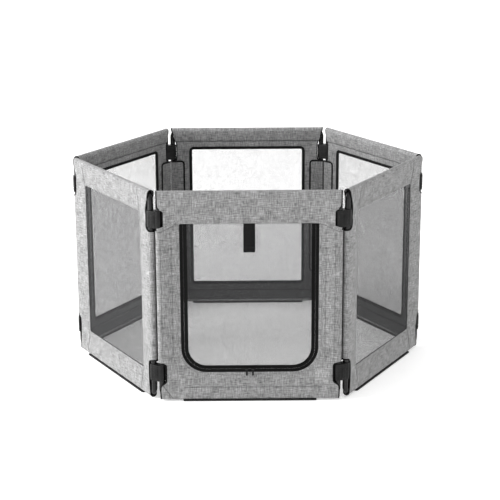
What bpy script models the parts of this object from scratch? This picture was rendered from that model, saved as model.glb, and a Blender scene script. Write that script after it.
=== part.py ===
"""Six-sided soft pet playpen: six tube frames in fabric and mesh covers, joined at the corners by pairs of plastic clamps.

Row frame: metres, +Z up, origin on the floor at the centre of the hexagon, the door panel towards -Y.
A panel's own frame has X along the panel, Y towards the inside of the pen and its origin on the floor under
the middle of the tube frame. A corner's own frame has X along the clamp, Y towards the inside of the pen."""

import math

import bmesh
import bpy
from mathutils import Matrix, Vector

# Driving dimensions, in metres
PITCH = 0.605  # corner line to corner line of one panel
HEIGHT = 0.711  # floor to the top of a cover
TUBE_R = 0.0095  # 19 mm round tube
TUBE_BEND_R = 0.025  # centreline radius of a frame's corner bend
TUBE_PAIR = 0.030  # spacing of the two tubes held by one clamp
COVER_R = 0.0113  # outer radius of the fabric round the tube
COVER_BEND_R = 0.010
FABRIC = 0.0015
COVER_FLAT = 0.012  # how far the two layers run parallel before they close in
HEM = 0.0021  # half thickness of the cover at its window
GAP = 0.0003  # running gap between pieces that lie on each other
BAND_TOP, BAND_BOTTOM, BAND_SIDE = 0.084, 0.084, 0.074  # cover edge, or tube axis at the sides, to the mesh
WINDOW_R = 0.012
NET = 0.0004
STRIP = (0.440, 0.025, 0.0035)
CLAMP_R, CLAMP_BORE_R, CLAMP_H = 0.013, 0.0099, 0.056
CLAMP_LOW_Z, CLAMP_TOP_Z = 0.068, HEIGHT - 0.122  # undersides of the two clamps of a corner
CLAMP_BOSS = 0.0012
FLAP_REACH = 0.045  # from the tube axis along the panel
FLAP_LOW_Z, FLAP_TOP_Z = 0.130, HEIGHT - 0.128
DOOR_HALF_W, DOOR_LOW_Z, DOOR_TOP_Z = 0.2253, 0.097, HEIGHT - 0.107
DOOR_R = 0.085  # lower corners of the doorway
ZIP_BAND = 0.024  # both tapes together
ZIP_T = 0.0012
STRAP = (0.038, 0.0016, 0.093)
SLIDER = (0.012, 0.0035, 0.009)
SLIDER_X = 0.010
PULL = (0.006, 0.0016, 0.022)

LINEN, BLACK_WEB, BLACK_NET = (0.36, 0.36, 0.36), (0.012, 0.012, 0.013), (0.02, 0.02, 0.02)
BLACK_PAINT, BLACK_PLASTIC, STEEL = (0.01, 0.01, 0.011), (0.008, 0.008, 0.009), (0.35, 0.35, 0.36)

APOTHEM = PITCH * math.cos(math.radians(30))
TUBE_X = PITCH / 2 - TUBE_PAIR / 2 * math.cos(math.radians(30))  # tube axis from the panel's middle
TUBE_OUT = TUBE_PAIR / 2 * math.sin(math.radians(30))  # tube plane outside the corner lines
TUBE_LOW_Z = STRIP[2] + GAP + COVER_R
TUBE_TOP_Z = HEIGHT - COVER_R
HINGE_Z = DOOR_TOP_Z - 0.001

PANELS = {"front": -90, "front_right": -30, "back_right": 30, "back": 90, "back_left": 150, "front_left": 210}
CORNERS = {"front_right": -60, "right": 0, "back_right": 60, "back_left": 120, "left": 180, "front_left": 240}


def panel_frame(name):
    """Panel frame in the row frame, from the bearing of the panel's outward normal."""
    turn = Matrix.Rotation(math.radians(PANELS[name] + 90), 4, "Z")
    return turn @ Matrix.Translation((0, -(APOTHEM + TUBE_OUT), 0))


def corner_frame(name):
    turn = Matrix.Rotation(math.radians(CORNERS[name] + 90), 4, "Z")
    return turn @ Matrix.Translation((0, -PITCH, 0))


def clear_scene():
    for obj in list(bpy.data.objects):
        bpy.data.objects.remove(obj, do_unlink=True)


def new_collection(name):
    made = bpy.data.collections.new(name)
    bpy.context.scene.collection.children.link(made)
    return made


def finish(name, colour, roughness, metallic=0.0):
    """A Principled BSDF of one colour."""
    made = bpy.data.materials.new(name)
    made.use_nodes = True
    shader = made.node_tree.nodes["Principled BSDF"]
    shader.inputs["Base Color"].default_value = (*colour, 1)
    shader.inputs["Roughness"].default_value = roughness
    shader.inputs["Metallic"].default_value = metallic
    return made


def place(obj, frame, pivot):
    """Stands obj at a row-frame matrix, under the empty of the body that it belongs to."""
    local = frame if pivot is None else pivot.matrix_world.inverted() @ frame
    obj.parent = pivot
    obj.location = local.to_translation()
    obj.rotation_euler = local.to_euler()


def add_part(name, data, frame, pivot, colour, roughness, metallic=0.0):
    obj = bpy.data.objects.new(name, data)
    parts.objects.link(obj)
    obj.data.materials.append(finish("mat_" + name, colour, roughness, metallic))
    place(obj, frame, pivot)
    return obj


def add_pivot(name, position):
    """An empty on a joint's axis."""
    empty = bpy.data.objects.new(name, None)
    parts.objects.link(empty)
    empty.empty_display_size = 0.02
    empty.location = position
    bpy.context.view_layer.update()
    return empty


def smooth(mesh, degrees=35):
    mesh.shade_smooth()
    mesh.set_sharp_from_angle(angle=math.radians(degrees))


def mesh_of(obj):
    """Evaluated mesh of a helper object, with the loose caps of a curve welded. The helper is removed."""
    bpy.context.view_layer.update()
    graph = bpy.context.evaluated_depsgraph_get()
    mesh = bpy.data.meshes.new_from_object(obj.evaluated_get(graph))
    mesh.transform(obj.matrix_world)
    mesh.materials.clear()
    bpy.data.objects.remove(obj, do_unlink=True)
    solid = bmesh.new()
    solid.from_mesh(mesh)
    bmesh.ops.remove_doubles(solid, verts=solid.verts, dist=1e-6)
    solid.to_mesh(mesh)
    solid.free()
    return mesh


def outline_mesh(loops, thickness, upright=True, centre=0.0):
    """A flat outline, thickness thick. Upright outlines are drawn in X and Z, and centre is their Y; others in X and Y, and centre is their Z."""
    curve = bpy.data.curves.new("outline", "CURVE")
    curve.dimensions = "2D"
    curve.fill_mode = "BOTH"
    curve.extrude = thickness / 2
    for loop in loops:
        spline = curve.splines.new("POLY")
        spline.points.add(len(loop) - 1)
        for point, (u, v) in zip(spline.points, loop):
            point.co = (u, v, 0, 1)
        spline.use_cyclic_u = True
    helper = bpy.data.objects.new("outline", curve)
    parts.objects.link(helper)
    if upright:
        helper.rotation_euler = (math.radians(90), 0, 0)
        helper.location = (0, centre, 0)
    else:
        helper.location = (0, 0, centre)
    return mesh_of(helper)


def box_mesh(size, centre=(0, 0, 0), bevel=0.0):
    """A box from the cube primitive, its edges rounded by one chamfer if bevel is given."""
    solid = bmesh.new()
    bmesh.ops.create_cube(solid, size=1.0)
    bmesh.ops.scale(solid, vec=size, verts=solid.verts)
    if bevel:
        bmesh.ops.bevel(solid, geom=solid.edges, offset=bevel, segments=1, affect="EDGES")
    bmesh.ops.translate(solid, vec=centre, verts=solid.verts)
    mesh = bpy.data.meshes.new("box")
    solid.to_mesh(mesh)
    solid.free()
    return mesh


def arc(cx, cy, radius, start, end, steps):
    return [
        (
            cx + radius * math.cos(math.radians(start + (end - start) * i / steps)),
            cy + radius * math.sin(math.radians(start + (end - start) * i / steps)),
        )
        for i in range(steps + 1)
    ]


def rounded_loop(half_w, low, high, r_low, r_high, steps):
    """A rounded rectangle in X and Z, anticlockwise from the foot of its lower right corner."""
    return (
        arc(half_w - r_low, low + r_low, r_low, -90, 0, steps)
        + arc(half_w - r_high, high - r_high, r_high, 0, 90, steps)
        + arc(-half_w + r_high, high - r_high, r_high, 90, 180, steps)
        + arc(-half_w + r_low, low + r_low, r_low, 180, 270, steps)
    )


def frame_tube(name, frame, pivot):
    """One bent tube, closed into a rounded rectangle."""
    curve = bpy.data.curves.new(name, "CURVE")
    curve.dimensions = "3D"
    curve.bevel_depth = TUBE_R
    curve.bevel_resolution = 2
    curve.use_fill_caps = True
    path = rounded_loop(TUBE_X, TUBE_LOW_Z, TUBE_TOP_Z, TUBE_BEND_R, TUBE_BEND_R, 4)
    spline = curve.splines.new("POLY")
    spline.points.add(len(path) - 1)
    for point, (x, z) in zip(spline.points, path):
        point.co = (x, 0, z, 1)
    spline.use_cyclic_u = True
    spline.use_smooth = True
    return add_part(name, curve, frame, pivot, BLACK_PAINT, 0.35, 0.3)


def cover_surface(window, steps):
    """The fabric sleeve as an open surface: from the window's outer hem, round the tube, to the window's inner hem."""
    tube = rounded_loop(TUBE_X, TUBE_LOW_Z, TUBE_TOP_Z, COVER_BEND_R, COVER_BEND_R, steps)
    flat = rounded_loop(
        TUBE_X - COVER_FLAT, TUBE_LOW_Z + COVER_FLAT, TUBE_TOP_Z - COVER_FLAT, 0.006, 0.006, steps
    )
    surface = bmesh.new()
    rings = []
    for i, (x, z) in enumerate(tube):
        corner, step = divmod(i, steps + 1)
        bearing = math.radians(-90 + 90 * corner + 90 * step / steps)
        out = Vector((math.cos(bearing), 0, math.sin(bearing)))
        ring = [Vector((window[i][0], -HEM, window[i][1])), Vector((flat[i][0], -COVER_R, flat[i][1]))]
        for angle in (-90, -45, 0, 45, 90):
            a = math.radians(angle)
            ring.append(
                Vector((x, 0, z)) + out * COVER_R * math.cos(a) + Vector((0, COVER_R * math.sin(a), 0))
            )
        ring += [Vector((flat[i][0], COVER_R, flat[i][1])), Vector((window[i][0], HEM, window[i][1]))]
        rings.append([surface.verts.new(p) for p in ring])
    for i, ring in enumerate(rings):
        after = rings[(i + 1) % len(rings)]
        for j in range(len(ring) - 1):
            surface.faces.new((ring[j], ring[j + 1], after[j + 1], after[j]))
    mesh = bpy.data.meshes.new("cover")
    surface.to_mesh(mesh)
    surface.free()
    return mesh


def notch_cutter(name, frame, pivot):
    """Four D-shaped prisms that open the cover round the clamps. Distances are from the panel's corner lines."""
    upper = [
        (-0.006, -0.1345), (0.004, -0.1340), (0.014, -0.1315), (0.0225, -0.1275), (0.0275, -0.1220), (0.029, -0.116),
        (0.029, -0.072), (0.0275, -0.060), (0.022, -0.045), (0.014, -0.025), (0.008, -0.008), (0.006, 0.006),
        (-0.006, 0.006),
    ]  # fmt: skip
    lower = [
        (-0.006, 0.1365), (0.004, 0.1360), (0.014, 0.1335), (0.0225, 0.1295), (0.0275, 0.1245), (0.029, 0.118),
        (0.029, 0.072), (0.0275, 0.060), (0.024, 0.040), (0.021, 0.020), (0.020, -0.006), (-0.006, -0.006),
    ]  # fmt: skip
    loops = []
    for side in (1, -1):
        loops.append([(side * (PITCH / 2 - d), HEIGHT + z) for d, z in upper])
        loops.append([(side * (PITCH / 2 - d), z) for d, z in lower])
    mesh = outline_mesh(loops, 0.06)
    obj = bpy.data.objects.new(name, mesh)
    cutters.objects.link(obj)
    obj.hide_render = True
    obj.display_type = "WIRE"
    place(obj, frame, pivot)
    return obj


def cover(name, frame, pivot, window, steps):
    obj = add_part(name, cover_surface(window, steps), frame, pivot, LINEN, 0.9)
    wall = obj.modifiers.new("fabric", "SOLIDIFY")
    wall.thickness = FABRIC
    wall.offset = -1
    wall.use_even_offset = True
    cut = obj.modifiers.new("notches", "BOOLEAN")
    cut.operation = "DIFFERENCE"
    cut.object = notch_cutter("cutter_" + name, frame, pivot)
    smooth(obj.data)
    return obj


def clamp_mesh(open_jaw):
    """Outline of a clamp seen from above: a ring round the tube at -X, and a jaw round the tube at +X.
    The jaw of the open corner has parallel arms, so that its tube can leave along X."""
    a, r, bore = TUBE_PAIR / 2, CLAMP_R, CLAMP_BORE_R
    lip = 38
    boss = [(-0.0090, -r), (-0.0075, -r - CLAMP_BOSS), (0.0075, -r - CLAMP_BOSS), (0.0090, -r)]
    if open_jaw:
        reach = a + 0.011
        jaw = [(reach, bore), (reach + 0.0012, bore + 0.0012), (reach, r)]
        outer = jaw + arc(-a, 0, r, 90, 270, 8) + boss
        outer += [(reach, -r), (reach + 0.0012, -bore - 0.0012), (reach, -bore)] + arc(a, 0, bore, -90, -270, 8)
    else:
        outer = arc(a, 0, r, lip, 90, 4) + arc(-a, 0, r, 90, 270, 8) + boss
        outer += arc(a, 0, r, 270, 360 - lip, 4) + arc(a, 0, bore, 360 - lip, lip, 10)
    hole = arc(-a, 0, bore, 0, 360, 16)[:-1]
    mesh = outline_mesh([outer, hole], CLAMP_H, upright=False, centre=CLAMP_H / 2)
    smooth(mesh)
    return mesh


def flap_mesh(halves):
    """A fabric strip on the inside of a corner, which lies along both covers and dips between the tubes."""
    slope = (COVER_R - HEM) / (BAND_SIDE - COVER_FLAT)
    rise = 0.0004
    half = []
    for along, off in (
        (FLAP_REACH, COVER_R - slope * (FLAP_REACH - COVER_FLAT)),
        (COVER_FLAT, COVER_R),
        (0.0, COVER_R),
    ):
        c, s = math.cos(math.radians(30)), math.sin(math.radians(30))
        half.append((TUBE_PAIR / 2 + along * c - (off + rise) * s, along * s + (off + rise) * c))
    middle = [(0.0, 0.008)]
    if halves == (1,):
        line = [(0.0010, 0.0082)] + half[::-1]
    elif halves == (-1,):
        line = [(-x, y) for x, y in half] + [(-0.0010, 0.0082)]
    else:
        line = [(-x, y) for x, y in half] + middle + half[::-1]
    sheet = bmesh.new()
    rows = [[sheet.verts.new((x, y, z)) for z in (FLAP_LOW_Z, FLAP_TOP_Z)] for x, y in line]
    for low, high in zip(rows, rows[1:]):
        sheet.faces.new((low[0], low[1], high[1], high[0]))
    mesh = bpy.data.meshes.new("flap")
    sheet.to_mesh(mesh)
    sheet.free()
    return mesh


def add_flap(name, corner, pivot, halves=(-1, 1)):
    obj = add_part(name, flap_mesh(halves), corner_frame(corner), pivot, LINEN, 0.9)
    wall = obj.modifiers.new("fabric", "SOLIDIFY")
    wall.thickness = FABRIC
    wall.offset = 1
    wall.use_even_offset = True
    smooth(obj.data)
    return obj


def u_path(offset, steps=6, drop=0.003):
    """The zip's U line, moved outwards by offset: down the left side, round the bottom, up the right side."""
    middle = ZIP_BAND / 2
    half_w, low, r = DOOR_HALF_W - middle + offset, DOOR_LOW_Z + middle - offset, DOOR_R - middle + offset
    top = HINGE_Z - drop
    return (
        [(-half_w, top)]
        + arc(-half_w + r, low + r, r, 180, 270, steps)
        + arc(half_w - r, low + r, r, 270, 360, steps)
        + [(half_w, top)]
    )


def zip_half(name, near, far, frame, pivot):
    """Half of the zip: the band between two offsets of the U line."""
    loop = u_path(near, drop=0.006) + u_path(far, drop=0.006)[::-1]
    mesh = outline_mesh([loop], ZIP_T, centre=-NET / 2 - GAP - ZIP_T / 2)
    return add_part(name, mesh, frame, pivot, BLACK_WEB, 0.8)


def cylinder(solid, radius, length, centre, sides=12):
    """A cylinder along X from the cone primitive."""
    matrix = Matrix.Translation(centre) @ Matrix.Rotation(math.radians(90), 4, "Y")
    bmesh.ops.create_cone(
        solid, cap_ends=True, segments=sides, radius1=radius, radius2=radius, depth=length, matrix=matrix
    )


def joined(name, build_a, build_b, operation="UNION", cut=None):
    """Boolean of two helper solids, each filled by a function, and an optional third taken away."""
    helpers = []
    for build in (build_a, build_b, cut):
        if build is None:
            continue
        solid = bmesh.new()
        build(solid)
        mesh = bpy.data.meshes.new(name)
        solid.to_mesh(mesh)
        solid.free()
        obj = bpy.data.objects.new(name, mesh)
        parts.objects.link(obj)
        helpers.append(obj)
    for other, how in zip(helpers[1:], (operation, "DIFFERENCE")):
        modifier = helpers[0].modifiers.new("join", "BOOLEAN")
        modifier.operation = how
        modifier.object = other
    mesh = mesh_of(helpers[0])
    for helper in helpers[1:]:
        bpy.data.objects.remove(helper, do_unlink=True)
    return mesh


def fill_box(size, centre):
    def build(solid):
        made = bmesh.ops.create_cube(solid, size=1.0)
        bmesh.ops.scale(solid, vec=size, verts=made["verts"])
        bmesh.ops.translate(solid, vec=centre, verts=made["verts"])

    return build


PIN_Y = 0.0024  # bridge pin in front of the slider's face
POST_X = 0.0030


def slider_mesh():
    """Slider body with two posts and a pin between them; the origin is on the pin."""
    sx, sy, sz = SLIDER

    def body(solid):
        fill_box(SLIDER, (0, PIN_Y + sy / 2, 0))(solid)
        bmesh.ops.bevel(solid, geom=solid.edges, offset=0.0007, segments=1, affect="EDGES")

    def bridge(solid):
        for side in (-1, 1):
            fill_box((0.0012, PIN_Y + 0.0026, 0.0024), (side * POST_X, (PIN_Y + 0.0006) / 2, 0))(solid)

    def pin(solid):
        cylinder(solid, 0.0007, 2 * POST_X + 0.0006, (0, 0, 0), 8)

    base = joined("slider", body, bridge)

    def again(solid):
        solid.from_mesh(base)

    return joined("slider", again, pin)


def pull_mesh():
    """Flat tab that hangs from a knuckle round the slider's pin."""
    width, thick, length = PULL

    def tab(solid):
        fill_box((width, thick, length), (0, 0, -0.0027 - length / 2))(solid)
        bmesh.ops.bevel(solid, geom=solid.edges, offset=0.0005, segments=1, affect="EDGES")

    def knuckle(solid):
        cylinder(solid, 0.0019, 0.0042, (0, 0, 0), 12)
        fill_box((0.0040, 0.0012, 0.0022), (0, 0, -0.0022))(solid)

    def bore(solid):
        cylinder(solid, 0.0011, 0.01, (0, 0, 0), 8)

    def shank(solid):
        cylinder(solid, 0.0019, 0.0042, (0, 0, 0), 12)

    def web(solid):
        fill_box((0.0040, 0.0012, 0.0024), (0, 0, -0.0024))(solid)

    head = joined("pull", shank, web)

    def again(solid):
        solid.from_mesh(head)

    return joined("pull", again, tab, cut=bore)


clear_scene()
parts = new_collection("pet_playpen")
cutters = new_collection("cutters")


def tube_axis(panel, side):
    """A point of the row frame on a panel's vertical tube axis; side is 1 at the panel's +X end."""
    return panel_frame(panel) @ Vector((side * TUBE_X, 0, 0))


# Pivots: each moving panel and each corner turns about a tube axis
pivots = {
    "panel_front": None,
    "corner_front_right": add_pivot("pivot_corner_front_right", tube_axis("front", 1)),
    "panel_front_right": add_pivot("pivot_panel_front_right", tube_axis("front_right", -1)),
    "corner_right": add_pivot("pivot_corner_right", tube_axis("front_right", 1)),
    "panel_back_right": add_pivot("pivot_panel_back_right", tube_axis("back_right", -1)),
    "corner_back_right": add_pivot("pivot_corner_back_right", tube_axis("back_right", 1)),
    "panel_back": add_pivot("pivot_panel_back", tube_axis("back", -1)),
    "corner_front_left": add_pivot("pivot_corner_front_left", tube_axis("front", -1)),
    "panel_front_left": add_pivot("pivot_panel_front_left", tube_axis("front_left", 1)),
    "corner_left": add_pivot("pivot_corner_left", tube_axis("front_left", -1)),
    "panel_back_left": add_pivot("pivot_panel_back_left", tube_axis("back_left", 1)),
}

# The same window for five panels; the door panel's opening follows the zip
WINDOW = rounded_loop(
    TUBE_X - BAND_SIDE, STRIP[2] + GAP + BAND_BOTTOM, HEIGHT - BAND_TOP, WINDOW_R, WINDOW_R, 3
)
DOORWAY = rounded_loop(DOOR_HALF_W + GAP, DOOR_LOW_Z - GAP, DOOR_TOP_Z, DOOR_R, 0.006, 6)

for panel in PANELS:
    frame, pivot = panel_frame(panel), pivots["panel_" + panel]
    frame_tube("frame_tube_" + panel, frame, pivot)
    if panel == "front":
        cover("cover_front", frame, pivot, DOORWAY, 6)
    else:
        cover("cover_" + panel, frame, pivot, WINDOW, 3)
        tuck = 0.008
        low, high = STRIP[2] + GAP + BAND_BOTTOM - tuck, HEIGHT - BAND_TOP + tuck
        net = box_mesh((2 * (TUBE_X - BAND_SIDE + tuck), NET, high - low), (0, 0, (low + high) / 2))
        add_part("mesh_" + panel, net, frame, pivot, BLACK_NET, 0.9)
    strip = box_mesh(STRIP, (0, 0, STRIP[2] / 2), bevel=0.0006)
    add_part("base_strip_" + panel, strip, frame, pivot, BLACK_PLASTIC, 0.5)

for corner in CORNERS:
    is_open = corner == "back_left"
    body = "panel_back" if is_open else "corner_" + corner
    for level, z in (("upper", CLAMP_TOP_Z), ("lower", CLAMP_LOW_Z)):
        frame = corner_frame(corner) @ Matrix.Translation((0, 0, z))
        add_part(
            f"clamp_{level}_{corner}", clamp_mesh(is_open), frame, pivots[body], BLACK_PLASTIC, 0.45
        )
    if not is_open:
        add_flap("corner_flap_" + corner, corner, pivots[body])

# The open corner's flap: one half sewn to the back panel, the other closed on the back left panel
add_flap("corner_flap_back_left", "back_left", pivots["panel_back"], halves=(-1,))
free_axis = corner_frame("back_left") @ Vector((0, 0.0089, 0))
add_flap(
    "corner_flap_back_left_free", "back_left", add_pivot("pivot_flap_back_left", free_axis), halves=(1,)
)

# Door: zip, net, strap and the two sliders with their pulls
front = panel_frame("front")
door = add_pivot("pivot_door", front @ Vector((0, 0, HINGE_Z)))
zip_half("zip_panel_side", 0.0002, ZIP_BAND / 2, front, None)
zip_half("zip_door_side", -ZIP_BAND / 2, -0.0002, front, door)
add_part("door_mesh", outline_mesh([u_path(-0.004)], NET), front, door, BLACK_NET, 0.9)
strap_y = -NET / 2 - 0.0008 - STRAP[1] / 2
strap_hinge = front @ Vector((0, strap_y, HINGE_Z + 0.0025))
strap = add_pivot("pivot_door_strap", strap_hinge)
add_part(
    "door_strap",
    box_mesh(STRAP, (0, 0, -0.0053 - STRAP[2] / 2), bevel=0.0004),
    Matrix.Translation(strap_hinge),
    strap,
    BLACK_WEB,
    0.8,
)
zip_z = DOOR_LOW_Z + ZIP_BAND / 2
pin_y = -NET / 2 - GAP - ZIP_T - GAP - SLIDER[1] - PIN_Y
for side, x in (("left", -SLIDER_X), ("right", SLIDER_X)):
    at = Matrix.Translation(front @ Vector((x, pin_y, zip_z)))
    pin = add_pivot("pivot_zip_" + side, at.to_translation())
    add_part("zip_slider_" + side, slider_mesh(), at, pin, STEEL, 0.35, 1.0)
    add_part("zip_pull_" + side, pull_mesh(), at, pin, BLACK_PLASTIC, 0.5)
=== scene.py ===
"""Looks of the pet playpen: sewn linen covers, net, tape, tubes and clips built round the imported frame."""

import math
import bmesh
import bpy
import numpy as np
from mathutils import Matrix, Vector, noise
from mathutils.geometry import delaunay_2d_cdt


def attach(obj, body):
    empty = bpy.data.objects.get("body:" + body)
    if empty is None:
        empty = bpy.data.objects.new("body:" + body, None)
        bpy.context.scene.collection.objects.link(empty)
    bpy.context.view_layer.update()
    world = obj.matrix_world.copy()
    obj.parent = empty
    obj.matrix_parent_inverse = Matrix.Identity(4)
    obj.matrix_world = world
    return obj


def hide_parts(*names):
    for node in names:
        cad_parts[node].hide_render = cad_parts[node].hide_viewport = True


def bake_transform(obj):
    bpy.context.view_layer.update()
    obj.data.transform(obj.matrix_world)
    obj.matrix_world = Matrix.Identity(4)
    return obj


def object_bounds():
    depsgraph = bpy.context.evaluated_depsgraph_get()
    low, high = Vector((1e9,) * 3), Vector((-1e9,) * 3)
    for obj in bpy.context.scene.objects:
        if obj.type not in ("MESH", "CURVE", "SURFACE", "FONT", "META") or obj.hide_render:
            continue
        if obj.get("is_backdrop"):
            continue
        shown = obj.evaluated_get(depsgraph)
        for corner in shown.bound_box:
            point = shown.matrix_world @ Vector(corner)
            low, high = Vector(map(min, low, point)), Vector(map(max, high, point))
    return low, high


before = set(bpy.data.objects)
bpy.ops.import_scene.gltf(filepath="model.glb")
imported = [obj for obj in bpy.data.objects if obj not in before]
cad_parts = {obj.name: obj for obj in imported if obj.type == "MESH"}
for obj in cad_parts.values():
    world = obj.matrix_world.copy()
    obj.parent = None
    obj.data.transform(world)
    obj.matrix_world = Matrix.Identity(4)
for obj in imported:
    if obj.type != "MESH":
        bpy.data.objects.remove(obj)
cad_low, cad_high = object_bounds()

# Sizes shared with the CAD part, in metres
PITCH, HEIGHT = 0.605, 0.711
TUBE_R, TUBE_BEND_R, TUBE_PAIR = 0.0095, 0.025, 0.030
COVER_R, COVER_FLAT, HEM = 0.0113, 0.012, 0.0021
CLOTH = 0.0012
BAND_TOP, BAND_BOTTOM, BAND_SIDE = 0.084, 0.084, 0.074
STRIP = (0.440, 0.025, 0.0035)
CLAMP_R, CLAMP_BORE_R, CLAMP_H = 0.013, 0.0099, 0.056
CLAMP_LOW_Z, CLAMP_TOP_Z = 0.068, HEIGHT - 0.122
FLAP_REACH, FLAP_LOW_Z, FLAP_TOP_Z = 0.045, 0.130, HEIGHT - 0.128
DOOR_HALF_W, DOOR_LOW_Z, DOOR_TOP_Z, DOOR_R = 0.2253, 0.097, HEIGHT - 0.107, 0.085
ZIP_BAND, ZIP_T, NET, NET_SHEET = 0.024, 0.0012, 0.0004, 0.00018
STRAP = (0.038, 0.0016, 0.093)
SLIDER, SLIDER_X, PULL, PIN_Y = (0.012, 0.0035, 0.009), 0.010, (0.006, 0.0016, 0.022), 0.0024

APOTHEM = PITCH * math.cos(math.radians(30))
TUBE_X = PITCH / 2 - TUBE_PAIR / 2 * math.cos(math.radians(30))
TUBE_OUT = TUBE_PAIR / 2 * math.sin(math.radians(30))
TUBE_LOW_Z = STRIP[2] + 0.0003 + COVER_R
TUBE_TOP_Z = HEIGHT - COVER_R
HINGE_Z = DOOR_TOP_Z - 0.001
RIM_R_TOP, RIM_R_LOW, SQUARE = 0.0030, 0.0050, 4.0

PANELS = {"front": -90, "front_right": -30, "back_right": 30, "back": 90, "back_left": 150, "front_left": 210}
CORNERS = {"front_right": -60, "right": 0, "back_right": 60, "back_left": 120, "left": 180, "front_left": 240}
# The panel at the clamp's -X side, then the one at its +X side, with the end of that panel
CORNER_PANELS = {
    "front_right": (("front", 1), ("front_right", -1)),
    "right": (("front_right", 1), ("back_right", -1)),
    "back_right": (("back_right", 1), ("back", -1)),
    "back_left": (("back", 1), ("back_left", -1)),
    "left": (("back_left", 1), ("front_left", -1)),
    "front_left": (("front_left", 1), ("front", -1)),
}


def panel_frame(name):
    turn = Matrix.Rotation(math.radians(PANELS[name] + 90), 4, "Z")
    return turn @ Matrix.Translation((0, -(APOTHEM + TUBE_OUT), 0))


def corner_frame(name):
    turn = Matrix.Rotation(math.radians(CORNERS[name] + 90), 4, "Z")
    return turn @ Matrix.Translation((0, -PITCH, 0))


# ---------------------------------------------------------------- materials


class Nodes:
    """Small helper that adds and links shader nodes."""

    def __init__(self, name):
        self.material = bpy.data.materials.new(name)
        self.material.use_nodes = True
        self.tree = self.material.node_tree
        self.shader = self.tree.nodes["Principled BSDF"]

    def add(self, kind, **values):
        node = self.tree.nodes.new(kind)
        for key, value in values.items():
            if hasattr(node, key):
                setattr(node, key, value)
            else:
                node.inputs[key.replace("_", " ")].default_value = value
        return node

    def link(self, a, b):
        self.tree.links.new(a, b)

    def uv(self, scale_u, scale_v, name="weave", turn=0.0):
        source = self.add("ShaderNodeUVMap")
        source.uv_map = name
        mapping = self.add("ShaderNodeMapping")
        mapping.inputs["Scale"].default_value = (scale_u, scale_v, 1)
        mapping.inputs["Rotation"].default_value = (0, 0, turn)
        self.link(source.outputs["UV"], mapping.inputs["Vector"])
        return mapping.outputs["Vector"]

    def noise_at(self, vector, detail=2.0, roughness=0.55, distortion=0.0):
        node = self.add("ShaderNodeTexNoise")
        node.inputs["Scale"].default_value = 1.0
        node.inputs["Detail"].default_value = detail
        node.inputs["Roughness"].default_value = roughness
        node.inputs["Distortion"].default_value = distortion
        self.link(vector, node.inputs["Vector"])
        return node.outputs["Fac"]

    def math(self, operation, a, b=None, clamp=False):
        node = self.add("ShaderNodeMath")
        node.operation = operation
        node.use_clamp = clamp
        for i, value in enumerate((a, b)):
            if value is None:
                continue
            if isinstance(value, (int, float)):
                node.inputs[i].default_value = value
            else:
                self.link(value, node.inputs[i])
        return node.outputs[0]

    def ramp(self, factor, stops):
        node = self.add("ShaderNodeValToRGB")
        elements = node.color_ramp.elements
        while len(elements) < len(stops):
            elements.new(0.5)
        for element, (position, colour) in zip(elements, stops):
            element.position = position
            element.color = (*colour, 1) if len(colour) == 3 else colour
        self.link(factor, node.inputs["Fac"])
        return node.outputs["Color"]

    def bump(self, height, strength, distance):
        node = self.add("ShaderNodeBump")
        node.inputs["Strength"].default_value = strength
        node.inputs["Distance"].default_value = distance
        self.link(height, node.inputs["Height"])
        self.link(node.outputs["Normal"], self.shader.inputs["Normal"])

    def split(self, vector):
        node = self.add("ShaderNodeSeparateXYZ")
        self.link(vector, node.inputs["Vector"])
        return node.outputs["X"], node.outputs["Y"]


def grey(v, warm=0.0):
    return (v * (1 + warm), v, v * (1 - warm))


def painted_seam_shade(n, u_at, v_at, marks):
    """Share of painted shade along seams, creases and edges, where the cloth gathers. A mark: (x0, z0, x1, z1,
    strength, half width).
    """
    total = None
    for x0, z0, x1, z1, strength, half in marks:
        length = math.hypot(x1 - x0, z1 - z0)
        tx, tz = (x1 - x0) / length, (z1 - z0) / length
        du = n.math("SUBTRACT", u_at, (x0 + x1) / 2)
        dv = n.math("SUBTRACT", v_at, (z0 + z1) / 2)
        along = n.math("ABSOLUTE", n.math("ADD", n.math("MULTIPLY", du, tx), n.math("MULTIPLY", dv, tz)))
        across = n.math("ABSOLUTE", n.math("SUBTRACT", n.math("MULTIPLY", du, tz), n.math("MULTIPLY", dv, tx)))
        far = n.math("MAXIMUM", n.math("SUBTRACT", across, half), n.math("SUBTRACT", along, length / 2))
        mask = n.math("SUBTRACT", 1.0, n.math("DIVIDE", far, 0.0020), clamp=True)
        mask = n.math("MULTIPLY", mask, strength)
        total = mask if total is None else n.math("MAXIMUM", total, mask)
    return total


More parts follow.
